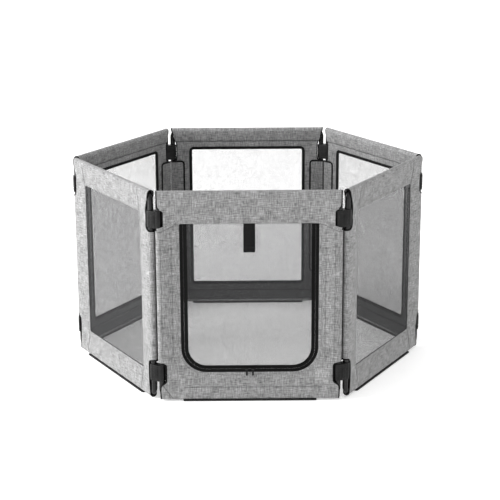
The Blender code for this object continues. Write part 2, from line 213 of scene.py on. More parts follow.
def linen(name="linen", tone=1.0, warm=0.0, inner_shade=0.80, marks=()):
    """Heather linen-look polyester: slubs both ways, a plain weave in the bump and a little fuzz."""
    n = Nodes(name)
    across = n.noise_at(n.uv(38, 330), 2.0)
    along = n.noise_at(n.uv(330, 38), 2.0)
    fine_a = n.noise_at(n.uv(120, 900), 1.0)
    fine_b = n.noise_at(n.uv(900, 120), 1.0)
    broad = n.noise_at(n.uv(22, 22), 3.0)
    total = n.math("ADD", n.math("MULTIPLY", across, 0.34), n.math("MULTIPLY", along, 0.34))
    total = n.math("ADD", total, n.math("MULTIPLY", fine_a, 0.10))
    total = n.math("ADD", total, n.math("MULTIPLY", fine_b, 0.10))
    total = n.math("ADD", total, n.math("MULTIPLY", broad, 0.12))
    colour = n.ramp(
        total,
        [
            (0.36, grey(0.062 * tone, warm)),
            (0.46, grey(0.168 * tone, warm)),
            (0.54, grey(0.262 * tone, warm)),
            (0.64, grey(0.405 * tone, warm)),
        ],
    )
    # the layer on the inside of the pen has its pattern offset by 7.3 m; its colour is darkened by painted shade, all
    # over and more towards the floor
    u_at, v_at = n.split(n.uv(1, 1))
    inside = n.math("GREATER_THAN", u_at, 4.0)
    painted_floor_shade = n.math("MULTIPLY", n.math("SUBTRACT", 0.66, v_at), 1.1, clamp=True)
    drop = n.math("ADD", 1 - inner_shade, n.math("MINIMUM", painted_floor_shade, 0.60))
    shade = n.math("SUBTRACT", 1.0, n.math("MULTIPLY", inside, drop))
    # painted shade along the marked seams, creases and edges
    if marks:
        shade = n.math("MULTIPLY", shade, n.math("SUBTRACT", 1.0, painted_seam_shade(n, u_at, v_at, marks)))
    mix = n.add("ShaderNodeVectorMath")
    mix.operation = "SCALE"
    n.link(colour, mix.inputs[0])
    n.link(shade, mix.inputs["Scale"])
    n.link(mix.outputs[0], n.shader.inputs["Base Color"])
    u, v = n.split(n.uv(2 * math.pi / 0.0011, 2 * math.pi / 0.0011))
    weave = n.math("MULTIPLY", n.math("SINE", u), n.math("SINE", v))
    height = n.math("ADD", n.math("MULTIPLY", weave, 0.25), n.math("MULTIPLY", total, 1.6))
    n.bump(height, 0.35, 0.0006)
    rough = n.math("ADD", n.math("MULTIPLY", broad, 0.10), 0.86)
    n.link(rough, n.shader.inputs["Roughness"])
    n.shader.inputs["Sheen Weight"].default_value = 0.10
    n.shader.inputs["Sheen Roughness"].default_value = 0.5
    n.shader.inputs["Specular IOR Level"].default_value = 0.2
    return n.material


def black_tape(name, rib=0.0009, base=0.005, light=0.014, rough=0.78, turn=0.0, strength=0.5):
    """Black ribbed tape or webbing."""
    n = Nodes(name)
    u, v = n.split(n.uv(2 * math.pi / rib, 2 * math.pi / (rib * 1.7), turn=turn))
    weave = n.math("MULTIPLY", n.math("SINE", u), n.math("SINE", v))
    dust = n.noise_at(n.uv(240, 240), 3.0)
    factor = n.math("ADD", n.math("MULTIPLY", weave, 0.18), dust)
    n.link(n.ramp(factor, [(0.30, grey(base)), (0.75, grey(light))]), n.shader.inputs["Base Color"])
    n.link(n.math("ADD", n.math("MULTIPLY", dust, 0.2), rough - 0.1), n.shader.inputs["Roughness"])
    n.bump(weave, strength, 0.0003)
    n.shader.inputs["Specular IOR Level"].default_value = 0.10
    return n.material


def net_material(name, cover, pitch=0.0016, thread=(0.030, 0.030, 0.031)):
    """Open warp-knit net: staggered oval holes. cover is the share of one face that the threads fill."""
    n = Nodes(name)
    u, v = n.split(n.uv(math.pi / pitch, math.pi / (pitch * 0.92)))
    a = n.math("ABSOLUTE", n.math("SINE", n.math("ADD", u, v)))
    b = n.math("ABSOLUTE", n.math("SINE", n.math("SUBTRACT", u, v)))
    low = n.math("MINIMUM", a, b)
    edge = math.sin(math.pi / 2 * (1 - math.sqrt(1 - cover)))
    wobble = n.noise_at(n.uv(55, 55), 2.0)
    line = n.math("ADD", low, n.math("MULTIPLY", n.math("SUBTRACT", wobble, 0.5), 0.22))
    alpha = n.ramp(line, [(max(edge - 0.10, 0.0), (0.93, 0.93, 0.93, 1)), (edge + 0.10, (0.0, 0.0, 0.0, 1))])
    n.link(alpha, n.shader.inputs["Alpha"])
    tone = n.noise_at(n.uv(400, 400), 1.0)
    n.link(n.ramp(tone, [(0.3, thread), (0.7, tuple(c * 1.8 for c in thread))]), n.shader.inputs["Base Color"])
    n.shader.inputs["Roughness"].default_value = 0.75
    n.shader.inputs["Specular IOR Level"].default_value = 0.25
    return n.material


def hard_black(name, base=0.010, rough=0.38, grain=900, bump=0.10, metal=0.0, wear=0.0, specular=0.2):
    """Black plastic or powder coat: grain in the bump, small changes of gloss and a little rubbed dust."""
    n = Nodes(name)
    where = n.add("ShaderNodeTexCoord")
    mapping = n.add("ShaderNodeMapping")
    mapping.inputs["Scale"].default_value = (1, 1, 1)
    n.link(where.outputs["Object"], mapping.inputs["Vector"])
    fine = n.add("ShaderNodeTexNoise")
    fine.inputs["Scale"].default_value = grain
    fine.inputs["Detail"].default_value = 2
    broad = n.add("ShaderNodeTexNoise")
    broad.inputs["Scale"].default_value = 38
    broad.inputs["Detail"].default_value = 4
    for node in (fine, broad):
        n.link(mapping.outputs["Vector"], node.inputs["Vector"])
    n.link(
        n.ramp(broad.outputs["Fac"], [(0.35, grey(base)), (0.72, grey(base * 2.2 + wear))]),
        n.shader.inputs["Base Color"],
    )
    n.link(n.math("ADD", n.math("MULTIPLY", broad.outputs["Fac"], 0.22), rough - 0.11), n.shader.inputs["Roughness"])
    n.bump(fine.outputs["Fac"], bump, 0.0002)
    n.shader.inputs["Metallic"].default_value = metal
    n.shader.inputs["Specular IOR Level"].default_value = specular
    return n.material


def bright_metal(name):
    n = Nodes(name)
    where = n.add("ShaderNodeTexCoord")
    broad = n.add("ShaderNodeTexNoise")
    broad.inputs["Scale"].default_value = 300
    n.link(where.outputs["Object"], broad.inputs["Vector"])
    n.link(n.ramp(broad.outputs["Fac"], [(0.3, grey(0.20)), (0.7, grey(0.34))]), n.shader.inputs["Base Color"])
    n.link(n.math("ADD", n.math("MULTIPLY", broad.outputs["Fac"], 0.2), 0.15), n.shader.inputs["Roughness"])
    n.shader.inputs["Metallic"].default_value = 1.0
    return n.material


def thread_material(name, value):
    n = Nodes(name)
    where = n.add("ShaderNodeTexCoord")
    strand = n.add("ShaderNodeTexNoise")
    strand.inputs["Scale"].default_value = 1500
    n.link(where.outputs["Object"], strand.inputs["Vector"])
    n.link(
        n.ramp(strand.outputs["Fac"], [(0.3, grey(value * 0.7)), (0.7, grey(value * 1.2))]), n.shader.inputs["Base Color"]
    )
    n.bump(strand.outputs["Fac"], 0.3, 0.0001)
    n.shader.inputs["Roughness"].default_value = 0.7
    return n.material


LINEN = linen()
PATCH = linen("patch_linen", tone=1.25)
TAPE = black_tape("bias_tape", rib=0.0010, base=0.003, light=0.009)
WEBBING = black_tape("strap_webbing", rib=0.0021, base=0.004, light=0.012, strength=0.8)
ZIPPER = black_tape("zip_tape", rib=0.0008, base=0.002, light=0.007)
TEETH = hard_black("zip_teeth", base=0.010, rough=0.45, grain=2500, bump=0.05)
# One net fabric in three copies: the cover differs so that the far nets read lighter and the door net darker, a painted
# light and shade
NET_NEAR = net_material("net_near", 0.41)
NET_DOOR = net_material("net_door", 0.50)
NET_FAR = net_material("net_far", 0.30)
PAINT = hard_black("tube_paint", base=0.004, rough=0.24, grain=1400, bump=0.05, specular=0.3)
CLIP = hard_black("clip_plastic", base=0.006, rough=0.42, grain=1100, bump=0.10, specular=0.16)
FOOT = hard_black("strip_plastic", base=0.010, rough=0.55, grain=900, bump=0.15, wear=0.01)
LACQUER = hard_black("slider_lacquer", base=0.014, rough=0.28, grain=2000, bump=0.03, metal=0.4)
SILVER = bright_metal("pull_tip")
THREAD_GREY = thread_material("thread_grey", 0.11)
THREAD_BLACK = thread_material("thread_black", 0.02)

# ---------------------------------------------------------------- mesh building


def new_object(name, mesh, material, world=None):
    obj = bpy.data.objects.new(name, mesh)
    bpy.context.scene.collection.objects.link(obj)
    mesh.materials.clear()
    mesh.materials.append(material)
    if world is not None:
        obj.matrix_world = world
    return obj


def piece(name, mesh, material, body, world, stands_for=()):
    """A finished piece that rides on a body."""
    obj = new_object(name, mesh, material, world)
    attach(obj, body)
    if stands_for:
        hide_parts(*stands_for)
    return obj


def evaluated(obj):
    """The object's mesh with its modifiers applied. The object is removed."""
    bpy.context.view_layer.update()
    graph = bpy.context.evaluated_depsgraph_get()
    mesh = bpy.data.meshes.new_from_object(obj.evaluated_get(graph), preserve_all_data_layers=True, depsgraph=graph)
    bpy.data.objects.remove(obj, do_unlink=True)
    return mesh


def mesh_from(verts, faces, uvs=None, name="mesh"):
    """Mesh from points and faces, with one UV per point."""
    mesh = bpy.data.meshes.new(name)
    mesh.from_pydata([tuple(v) for v in verts], [], [tuple(f) for f in faces])
    if uvs is not None:
        layer = mesh.uv_layers.new(name="weave")
        corner = np.zeros(len(mesh.loops), np.int32)
        mesh.loops.foreach_get("vertex_index", corner)
        layer.data.foreach_set("uv", np.asarray(uvs, np.float32)[corner].ravel())
    mesh.update()
    return mesh


def smooth(mesh, degrees=40):
    mesh.shade_smooth()
    mesh.set_sharp_from_angle(angle=math.radians(degrees))


def join_meshes(meshes, name="joined"):
    """One mesh from several, materials dropped, UV layer kept."""
    solid = bmesh.new()
    for mesh in meshes:
        solid.from_mesh(mesh)
    out = bpy.data.meshes.new(name)
    solid.to_mesh(out)
    solid.free()
    return out


def arc(cx, cy, radius, start, end, steps):
    return [
        (
            cx + radius * math.cos(math.radians(start + (end - start) * i / steps)),
            cy + radius * math.sin(math.radians(start + (end - start) * i / steps)),
        )
        for i in range(steps + 1)
    ]


def rounded_loop(half_w, low, high, r_low, r_high, steps):
    return (
        arc(half_w - r_low, low + r_low, r_low, -90, 0, steps)
        + arc(half_w - r_high, high - r_high, r_high, 0, 90, steps)
        + arc(-half_w + r_high, high - r_high, r_high, 90, 180, steps)
        + arc(-half_w + r_low, low + r_low, r_low, 180, 270, steps)
    )


def spaced(points, step, closed):
    """Points along a polyline, step apart or a little less, its own corners kept within half a step."""
    pts = [np.array(p, float) for p in points]
    if closed:
        pts.append(pts[0])
    lengths = [0.0]
    for a, b in zip(pts, pts[1:]):
        lengths.append(lengths[-1] + float(np.linalg.norm(b - a)))
    total = lengths[-1]
    count = max(2, int(math.ceil(total / step)))
    out, i = [], 0
    for k in range(count if closed else count + 1):
        at = total * k / count
        while i < len(lengths) - 2 and lengths[i + 1] < at:
            i += 1
        span = lengths[i + 1] - lengths[i] or 1.0
        out.append(pts[i] + (pts[i + 1] - pts[i]) * ((at - lengths[i]) / span))
    return out


def smoothed(points, rounds=2):
    """Corner cutting on an open polyline; both ends stay."""
    pts = [np.array(p, float) for p in points]
    for _ in range(rounds):
        out = [pts[0]]
        for a, b in zip(pts, pts[1:]):
            out += [a * 0.75 + b * 0.25, a * 0.25 + b * 0.75]
        out.append(pts[-1])
        pts = out
    return pts


def rect_distance(x, z, half_w, low, high, r_low, r_high, power=2.0):
    """Signed distance to a rounded rectangle, positive outside. A power above 2 makes the corners squarer."""
    mid, half_h = (low + high) / 2, (high - low) / 2
    r = np.where(np.asarray(z) > mid, r_high, r_low)
    qx, qz = np.abs(x) - (half_w - r), np.abs(np.asarray(z) - mid) - (half_h - r)
    out_x, out_z = np.maximum(qx, 0), np.maximum(qz, 0)
    return (out_x**power + out_z**power) ** (1 / power) + np.minimum(np.maximum(qx, qz), 0) - r


class Cover:
    """Shape of one fabric cover as a half thickness over the panel's X and Z."""

    def __init__(self, window, name):
        self.window, self.name = window, name  # (half_w, low, high, r_low, r_high)

    def edge(self, x, z):
        """Distance outside the line of the tube; negative inside."""
        return rect_distance(x, z, TUBE_X, TUBE_LOW_Z, TUBE_TOP_Z, RIM_R_LOW, RIM_R_TOP, SQUARE)

    def in_window(self, x, z):
        return rect_distance(x, z, *self.window)

    def half(self, x, z):
        x, z = np.asarray(x, float), np.asarray(z, float)
        e = self.edge(x, z)
        d_w = np.maximum(self.in_window(x, z), 0.0)
        dx = np.maximum(TUBE_X - COVER_FLAT - np.abs(x), 1e-6)
        dt = np.maximum(TUBE_TOP_Z - COVER_FLAT - z, 1e-6)
        db = np.maximum(z - TUBE_LOW_Z - COVER_FLAT, 1e-6)
        d_f = (dx**-3.0 + dt**-3.0 + db**-3.0) ** (-1 / 3.0)
        t = d_w / (d_w + d_f)
        t = np.where(e > -COVER_FLAT, 1.0, t)
        flat = HEM + (COVER_R - HEM) * t
        rim = np.sqrt(np.maximum(COVER_R**2 - np.maximum(e, 0) ** 2, 0))
        return np.where(e > 0, rim, flat)

    def out(self, x, z):
        """Unit direction away from the tube line, in the panel's plane."""
        s = 2e-4
        gx = (self.edge(x + s, z) - self.edge(x - s, z)) / (2 * s)
        gz = (self.edge(x, z + s) - self.edge(x, z - s)) / (2 * s)
        length = np.hypot(gx, gz) + 1e-12
        return gx / length, gz / length

    def at(self, x, z, side, lift=0.0):
        """Points of the outer (side -1) or inner (side 1) face, raised by lift along the normal."""
        x, z = np.asarray(x, float), np.asarray(z, float)
        e = self.edge(x, z)
        ox, oz = self.out(x, z)
        past = np.maximum(e - COVER_R * 0.9995, 0)
        x, z = x - ox * past, z - oz * past
        e = np.minimum(e, COVER_R * 0.9995)
        h = self.half(x, z)
        s = 3e-4
        hx = (self.half(x + s, z) - self.half(x - s, z)) / (2 * s)
        hz = (self.half(x, z + s) - self.half(x, z - s)) / (2 * s)
        inner = e <= 0
        sine = np.clip(e / COVER_R, 0, 1)
        nx = np.where(inner, -hx, ox * sine)
        nz = np.where(inner, -hz, oz * sine)
        ny = np.where(inner, 1.0, np.sqrt(np.maximum(1 - sine**2, 0)))
        length = np.sqrt(nx**2 + ny**2 + nz**2)
        nx, ny, nz = nx / length, ny / length, nz / length
        return np.stack([x + nx * lift, side * (h + ny * lift), z + nz * lift], -1)


def triangulate(points, rows, keep):
    """Delaunay mesh over points with rows kept as edges. keep(x, z) says which triangle centres stay."""
    verts = [Vector((float(x), float(z))) for x, z in points]
    edges = []
    for row, closed in rows:
        start = len(verts)
        verts += [Vector((float(p[0]), float(p[1]))) for p in row]
        edges += [(start + i, start + i + 1) for i in range(len(row) - 1)]
        if closed:
            edges.append((start + len(row) - 1, start))
    out_verts, _, faces, _, _, _ = delaunay_2d_cdt(verts, edges, [], 0, 1e-7)
    xy = np.array([(v.x, v.y) for v in out_verts])
    tri = np.array([f[:3] for f in faces if len(f) == 3])
    centre = xy[tri].mean(1)
    tri = tri[keep(centre[:, 0], centre[:, 1])]
    a, b, c = xy[tri[:, 0]], xy[tri[:, 1]], xy[tri[:, 2]]
    area = (b[:, 0] - a[:, 0]) * (c[:, 1] - a[:, 1]) - (b[:, 1] - a[:, 1]) * (c[:, 0] - a[:, 0])
    tri[area < 0] = tri[area < 0][:, ::-1]
    return xy, tri[np.abs(area) > 1e-12]


def hex_grid(low_x, high_x, low_z, high_z, step):
    pts, row, z = [], 0, low_z
    while z <= high_z:
        xs = np.arange(low_x + (row % 2) * step / 2, high_x, step)
        pts += [(x, z) for x in xs]
        row += 1
        z += step * 0.866
    return np.array(pts)


def wave(p, scale, seed):
    return noise.noise(Vector((p[0] * scale + seed, p[1] * scale + seed * 1.7, p[2] * scale - seed)))


def tube_points():
    """Stations of the tube line for the rim of a cover: a base point, the outward bearing and its reach to the line."""
    stations = []
    corners = [
        (TUBE_X - RIM_R_LOW, TUBE_LOW_Z + RIM_R_LOW, RIM_R_LOW, -90),
        (TUBE_X - RIM_R_TOP, TUBE_TOP_Z - RIM_R_TOP, RIM_R_TOP, 0),
        (-TUBE_X + RIM_R_TOP, TUBE_TOP_Z - RIM_R_TOP, RIM_R_TOP, 90),
        (-TUBE_X + RIM_R_LOW, TUBE_LOW_Z + RIM_R_LOW, RIM_R_LOW, 180),
    ]
    for i, (cx, cz, r, start) in enumerate(corners):
        for k in range(13):
            a = math.radians(start + 90 * k / 12)
            ox, oz = math.cos(a), math.sin(a)
            size = (abs(ox) ** SQUARE + abs(oz) ** SQUARE) ** (1 / SQUARE)
            stations.append((cx, cz, ox / size, oz / size, r))
        nx, nz, nr, ns = corners[(i + 1) % 4]
        a = math.radians(ns)
        ex, ez = nx + nr * math.cos(a), nz + nr * math.sin(a)
        ox, oz = math.cos(a), math.sin(a)
        sx, sz = cx + r * ox, cz + r * oz
        count = int(math.hypot(ex - sx, ez - sz) / 0.006)
        for k in range(1, count):
            t = k / count
            stations.append((sx + (ex - sx) * t - ox * r, sz + (ez - sz) * t - oz * r, ox, oz, r))
    return stations


def cover_layers(cover, rows_out, rows_in, groove_out, groove_in, seed):
    """Middle surface of a cover: outer face, rim round the tube, inner face. Rows are lines that the mesh follows."""
    stations = tube_points()
    rim_loop = [(x + ox * r, z + oz * r) for x, z, ox, oz, r in stations]
    verts, faces, uvs = [], [], []

    def face_layer(side, rows, groove):
        half_w, low, high, r_low, r_high = cover.window
        hole = spaced(rounded_loop(half_w, low, high, r_low, r_high, 12), 0.005, True)
        grid = hex_grid(-TUBE_X, TUBE_X, TUBE_LOW_Z, TUBE_TOP_Z, 0.0068)
        far = (cover.edge(grid[:, 0], grid[:, 1]) < -0.0035) & (cover.in_window(grid[:, 0], grid[:, 1]) > 0.0035)
        grid = grid[far]
        rows = [r for r in rows]
        if rows:
            marks = np.array([p for r in rows for p in r])
            clear = np.ones(len(grid), bool)
            for start in range(0, len(marks), 400):
                part = marks[start : start + 400]
                gap = np.hypot(grid[:, None, 0] - part[None, :, 0], grid[:, None, 1] - part[None, :, 1]).min(1)
                clear &= gap > 0.0028
            grid = grid[clear]
            marks = marks[(cover.edge(marks[:, 0], marks[:, 1]) < -0.0012) & (cover.in_window(marks[:, 0], marks[:, 1]) > 0.0012)]
            grid = np.concatenate([grid, marks])
        xy, tri = triangulate(
            grid,
            [(rim_loop, True), (hole, True)],
            lambda x, z: (cover.edge(x, z) < 0) & (cover.in_window(x, z) > 0),
        )
        base = len(verts)
        lift = groove(xy[:, 0], xy[:, 1])
        pts = cover.at(xy[:, 0], xy[:, 1], side, lift)
        on_rim = np.abs(cover.edge(xy[:, 0], xy[:, 1])) < 2e-5
        pts[on_rim] = np.stack([xy[on_rim, 0], np.full(on_rim.sum(), side * COVER_R), xy[on_rim, 1]], -1)
        verts.extend(pts)
        uvs.extend([(x + (7.3 if side > 0 else 0), z) for x, z in xy])
        order = tri if side < 0 else tri[:, ::-1]
        faces.extend((order + base).tolist())

    face_layer(-1, rows_out, groove_out)
    face_layer(1, rows_in, groove_in)
    base, steps = len(verts), 12
    for x, z, ox, oz, r in stations:
        for k in range(steps + 1):
            a = math.radians(-90 + 180 * k / steps)
            reach = r + COVER_R * math.cos(a)
            verts.append(np.array((x + ox * reach, COVER_R * math.sin(a), z + oz * reach)))
            s = r + COVER_R * math.radians(180 * k / steps)
            uvs.append((x + ox * s, z + oz * s))
    n = len(stations)
    for i in range(n):
        j = (i + 1) % n
        for k in range(steps):
            a, b = base + i * (steps + 1) + k, base + j * (steps + 1) + k
            faces.append((a, a + 1, b + 1, b))
    mesh = mesh_from(verts, faces, uvs, "cover")
    solid = bmesh.new()
    solid.from_mesh(mesh)
    bmesh.ops.remove_doubles(solid, verts=solid.verts, dist=2e-5)
    bmesh.ops.recalc_face_normals(solid, faces=solid.faces)
    # The outer face looks towards -Y
    outer = [f for f in solid.faces if f.calc_center_median().y < -HEM and abs(f.normal.y) > 0.9]
    if sum(f.normal.y for f in outer) > 0:
        bmesh.ops.reverse_faces(solid, faces=solid.faces)
    solid.normal_update()
    for v in solid.verts:
        x, y, z = v.co
        e = float(cover.edge(x, z))
        d = float(cover.in_window(x, z))
        free = min(1.0, max(0.0, d / 0.02))
        pull = 0.00085 * wave((x, y * 0.3, z), 17, seed) * free
        pull += 0.00035 * wave((x, y, z), 52, seed + 9)
        # puckers that run square to the hem and die out from it
        near = math.exp(-max(d, 0) / 0.012)
        along = x if abs(x) < cover.window[0] - 0.004 else z
        pull += 0.00022 * near * math.sin(along * 2 * math.pi / 0.013 + 2.5 * wave((x, 0, z), 30, seed + 3))
        if e > 0:
            pull = 0.0004 * wave((x, y, z), 40, seed + 5)
        v.co += v.normal * pull
    solid.to_mesh(mesh)
    solid.free()
    return mesh


def notch_lines(tight):
    """Open edge lines of the four notches: distance from the corner line, height. Upper then lower.
    On the door panel they are tight round the clips."""
    if tight:
        upper = [
            (-0.010, -0.1275), (0.004, -0.1273), (0.014, -0.1268), (0.0225, -0.1255), (0.0266, -0.1222), (0.0274, -0.117),
            (0.0274, -0.071), (0.0262, -0.0660), (0.0190, -0.0620), (0.0100, -0.0580), (0.0062, -0.0500), (0.0052, -0.0300),
            (0.0050, 0.008),
        ]  # fmt: skip
        lower = [
            (-0.010, 0.1300), (0.004, 0.1298), (0.014, 0.1290), (0.0225, 0.1270), (0.0266, 0.1240), (0.0274, 0.118),
            (0.0274, 0.071), (0.0262, 0.0655), (0.018, 0.0600), (0.0090, 0.0540), (0.0064, 0.0380), (0.0076, 0.0180),
            (0.0085, -0.008),
        ]  # fmt: skip
        return smoothed(upper, 3), smoothed(lower, 3)
    upper = [
        (-0.010, -0.1345), (0.004, -0.1340), (0.013, -0.1318), (0.0215, -0.1282), (0.0262, -0.1230), (0.0278, -0.116),
        (0.0278, -0.072), (0.0268, -0.060), (0.022, -0.045), (0.014, -0.025), (0.0085, -0.010), (0.0060, 0.008),
    ]  # fmt: skip
    lower = [
        (-0.010, 0.1370), (0.004, 0.1360), (0.013, 0.1338), (0.0215, 0.1302), (0.0262, 0.1250), (0.0278, 0.118),
        (0.0278, 0.072), (0.0268, 0.060), (0.024, 0.040), (0.021, 0.020), (0.020, -0.008),
    ]  # fmt: skip
    return smoothed(upper, 3), smoothed(lower, 3)


def notch_cutters(tight):
    """Prisms that open the notches."""
    meshes = []
    upper, lower = notch_lines(tight)
    for side in (1, -1):
        for line, base in ((upper, HEIGHT), (lower, 0.0)):
            loop = [(side * (PITCH / 2 - d), base + z) for d, z in line]
            loop += [(side * (PITCH / 2 + 0.013), loop[-1][1]), (side * (PITCH / 2 + 0.013), loop[0][1])]
            verts = [(x, y, z) for y in (-0.03, 0.03) for x, z in loop]
            n = len(loop)
            faces = [list(range(n)), list(range(2 * n - 1, n - 1, -1))]
            faces += [(i, (i + 1) % n, n + (i + 1) % n, n + i) for i in range(n)]
            solid = bmesh.new()
            made = [solid.verts.new(v) for v in verts]
            for f in faces:
                solid.faces.new([made[i] for i in f])
            bmesh.ops.recalc_face_normals(solid, faces=solid.faces)
            mesh = bpy.data.meshes.new("notch")
            solid.to_mesh(mesh)
            solid.free()
            meshes.append(mesh)
    return new_object("notch_cutter", join_meshes(meshes), LINEN)


def cloth_solid(mesh, thickness, cutter=None, folded=False):
    """Gives a middle surface its thickness, inwards, and opens the notches."""
    obj = bpy.data.objects.new("work", mesh)
    bpy.context.scene.collection.objects.link(obj)
    wall = obj.modifiers.new("wall", "SOLIDIFY")
    wall.thickness = thickness
    wall.offset = -1
    wall.use_even_offset = True
    if cutter is not None:
        cut = obj.modifiers.new("cut", "BOOLEAN")
        cut.operation = "DIFFERENCE"
        cut.solver = "EXACT"
        cut.object = cutter
        cut.use_self = folded
    made = evaluated(obj)
    smooth(made, 42)
    return made


def sweep(rows, closed, uv_step=None):
    """Closed band from rows of section points; each row has the same count, the section is a closed loop."""
    n, m = len(rows), len(rows[0])
    verts = [p for row in rows for p in row]
    run = [0.0]
    for a, b in zip(rows, rows[1:]):
        run.append(run[-1] + float(np.linalg.norm(np.asarray(b[0]) - np.asarray(a[0]))))
    uvs = []
    for i, row in enumerate(rows):
        s = 0.0
        for k, p in enumerate(row):
            if k:
                s += float(np.linalg.norm(np.asarray(p) - np.asarray(row[k - 1])))
            uvs.append((run[i], s))
    faces = []
    for i in range(n if closed else n - 1):
        j = (i + 1) % n
        for k in range(m):
            l = (k + 1) % m
            faces.append((i * m + k, j * m + k, j * m + l, i * m + l))
    if not closed:
        faces += [tuple(range(m))[::-1], tuple((n - 1) * m + k for k in range(m))]
    mesh = mesh_from(verts, faces, uvs, "band")
    solid = bmesh.new()
    solid.from_mesh(mesh)
    bmesh.ops.recalc_face_normals(solid, faces=solid.faces)
    solid.to_mesh(mesh)
    solid.free()
    smooth(mesh, 50)
    return mesh


def normals_2d(points, closed):
    """Unit normals of a polyline in its plane, to the left of its direction."""
    pts = np.array(points, float)
    if closed:
        d = np.roll(pts, -1, 0) - np.roll(pts, 1, 0)
    else:
        d = np.gradient(pts, axis=0)
    d /= np.linalg.norm(d, axis=1)[:, None] + 1e-12
    return np.stack([-d[:, 1], d[:, 0]], -1)


def surface_band(cover, line, side, section, closed, flip=1):
    """A band that follows a line on a cover's face. section holds (distance from the line, lift) pairs."""
    pts = np.array(line, float)
    nrm = normals_2d(pts, closed) * flip
    rows = []
    for (x, z), (nx, nz) in zip(pts, nrm):
        rows.append([cover.at(x + nx * w, z + nz * w, side, lift) for w, lift in section])
    return sweep(rows, closed)


def notch_tape(cover, name, width=0.0034):
    """Black bias tape folded round the cut edges of the four notches, on both faces in one loop each."""
    bands = []
    upper, lower = notch_lines(cover.name == "front")
    for end in (1, -1):
        for line, base in ((upper, HEIGHT), (lower, 0.0)):
            pts = spaced([(end * (PITCH / 2 - d), base + z) for d, z in line], 0.0004, False)
            arr = np.array(pts)
            nrm = normals_2d(arr, False)
            # point away from the notch, towards the panel's middle
            mid = len(arr) // 2
            if nrm[mid][0] * end > 0:
                nrm = -nrm
            inside = cover.edge(arr[:, 0], arr[:, 1]) < COVER_R * 0.9995
            arr, nrm = arr[inside], nrm[inside]
            outer = cover.at(arr[:, 0], arr[:, 1], -1)
            inner = cover.at(arr[:, 0], arr[:, 1], 1)
            path3 = np.concatenate([outer, inner[::-1]])
            flat = np.concatenate([arr, arr[::-1]])
            nn = np.concatenate([nrm, nrm[::-1]])
            sides = np.concatenate([np.full(len(arr), -1), np.full(len(arr), 1)])
            step = np.linalg.norm(np.diff(path3, axis=0), axis=1)
            run = np.concatenate([[0], np.cumsum(step)])
            total = run[-1] + np.linalg.norm(path3[0] - path3[-1])
            count = int(total / 0.0022)
            pick = np.searchsorted(run, np.arange(count) * total / count)
            pick = np.unique(np.clip(pick, 0, len(run) - 1))
            rows = []
            section = [
                (width, 0.0001), (width, 0.0006), (0.0006, 0.0008), (-0.0007, 0.0002),
                (-0.0007, -CLOTH - 0.0002), (0.0006, -CLOTH - 0.0008), (width, -CLOTH - 0.0006), (width, -CLOTH),
            ]  # fmt: skip
            for i in pick:
                (x, z), (nx, nz), s = flat[i], nn[i], sides[i]
                rows.append([cover.at(x + nx * w, z + nz * w, s, lift) for w, lift in section])
            bands.append(sweep(rows, True))
    return join_meshes(bands, name)


def stitches(cover, lines, side, lift, pitch=0.0036, length=0.0025, width=0.00055):
    """Thread stitches along lines on a cover's face: one small lozenge each."""
    verts, faces = [], []
    for line, closed in lines:
        pts = spaced(line, pitch, closed)
        arr = np.array(pts)
        nrm = normals_2d(arr, closed)
        for (x, z), (nx, nz) in zip(arr, nrm):
            tx, tz = nz, -nx
            base = len(verts)
            ring = [(-length / 2, 0, -0.0003), (-length / 4, 1, 0.0), (-length / 4, -1, 0.0), (length / 4, 1, 0.0),
                    (length / 4, -1, 0.0), (length / 2, 0, -0.0003), (-length / 4, 0, 0.00035), (length / 4, 0, 0.00035),
                    (0, 0, -0.0004)]  # fmt: skip
            for along, across, up in ring:
                u = x + tx * along + nx * across * width / 2
                w = z + tz * along + nz * across * width / 2
                verts.append(cover.at(u, w, side, lift + up))
            faces += [
                tuple(base + k for k in f)
                for f in (
                    (0, 1, 6), (0, 6, 2), (1, 3, 7, 6), (2, 6, 7, 4), (5, 7, 3), (5, 4, 7), (0, 2, 8), (0, 8, 1),
                    (1, 8, 3), (2, 4, 8), (3, 8, 5), (4, 5, 8),
                )
            ]  # fmt: skip
    mesh = mesh_from(verts, faces)
    solid = bmesh.new()
    solid.from_mesh(mesh)
    bmesh.ops.recalc_face_normals(solid, faces=solid.faces)
    solid.to_mesh(mesh)
    solid.free()
    mesh.shade_smooth()
    return mesh


def tube_mesh():
    """One bent tube, smooth."""
    curve = bpy.data.curves.new("tube", "CURVE")
    curve.dimensions = "3D"
    curve.bevel_depth = TUBE_R
    curve.bevel_resolution = 6
    path = rounded_loop(TUBE_X, TUBE_LOW_Z, TUBE_TOP_Z, TUBE_BEND_R, TUBE_BEND_R, 14)
    spline = curve.splines.new("POLY")
    spline.points.add(len(path) - 1)
    for point, (x, z) in zip(spline.points, path):
        point.co = (x, 0, z, 1)
    spline.use_cyclic_u = True
    spline.use_smooth = True
    obj = bpy.data.objects.new("tube", curve)
    bpy.context.scene.collection.objects.link(obj)
    mesh = evaluated(obj)
    mesh.shade_smooth()
    return mesh


def outline_solid(loops, height, bevel, upright=False):
    """A filled outline with rounded edges, height tall in all, centred. Upright outlines stand in X and Z."""
    curve = bpy.data.curves.new("outline", "CURVE")
    curve.dimensions = "2D"
    curve.fill_mode = "BOTH"
    curve.extrude = height / 2 - bevel
    curve.bevel_depth = bevel
    curve.bevel_resolution = 2
    curve.offset = -bevel
    for loop in loops:
        spline = curve.splines.new("POLY")
        spline.points.add(len(loop) - 1)
        for point, (u, v) in zip(spline.points, loop):
            point.co = (u, v, 0, 1)
        spline.use_cyclic_u = True
    obj = bpy.data.objects.new("outline", curve)
    bpy.context.scene.collection.objects.link(obj)
    mesh = evaluated(obj)
    if upright:
        mesh.transform(Matrix.Rotation(math.radians(90), 4, "X"))
    solid = bmesh.new()
    solid.from_mesh(mesh)
    bmesh.ops.remove_doubles(solid, verts=solid.verts, dist=1e-6)
    solid.to_mesh(mesh)
    solid.free()
    return mesh


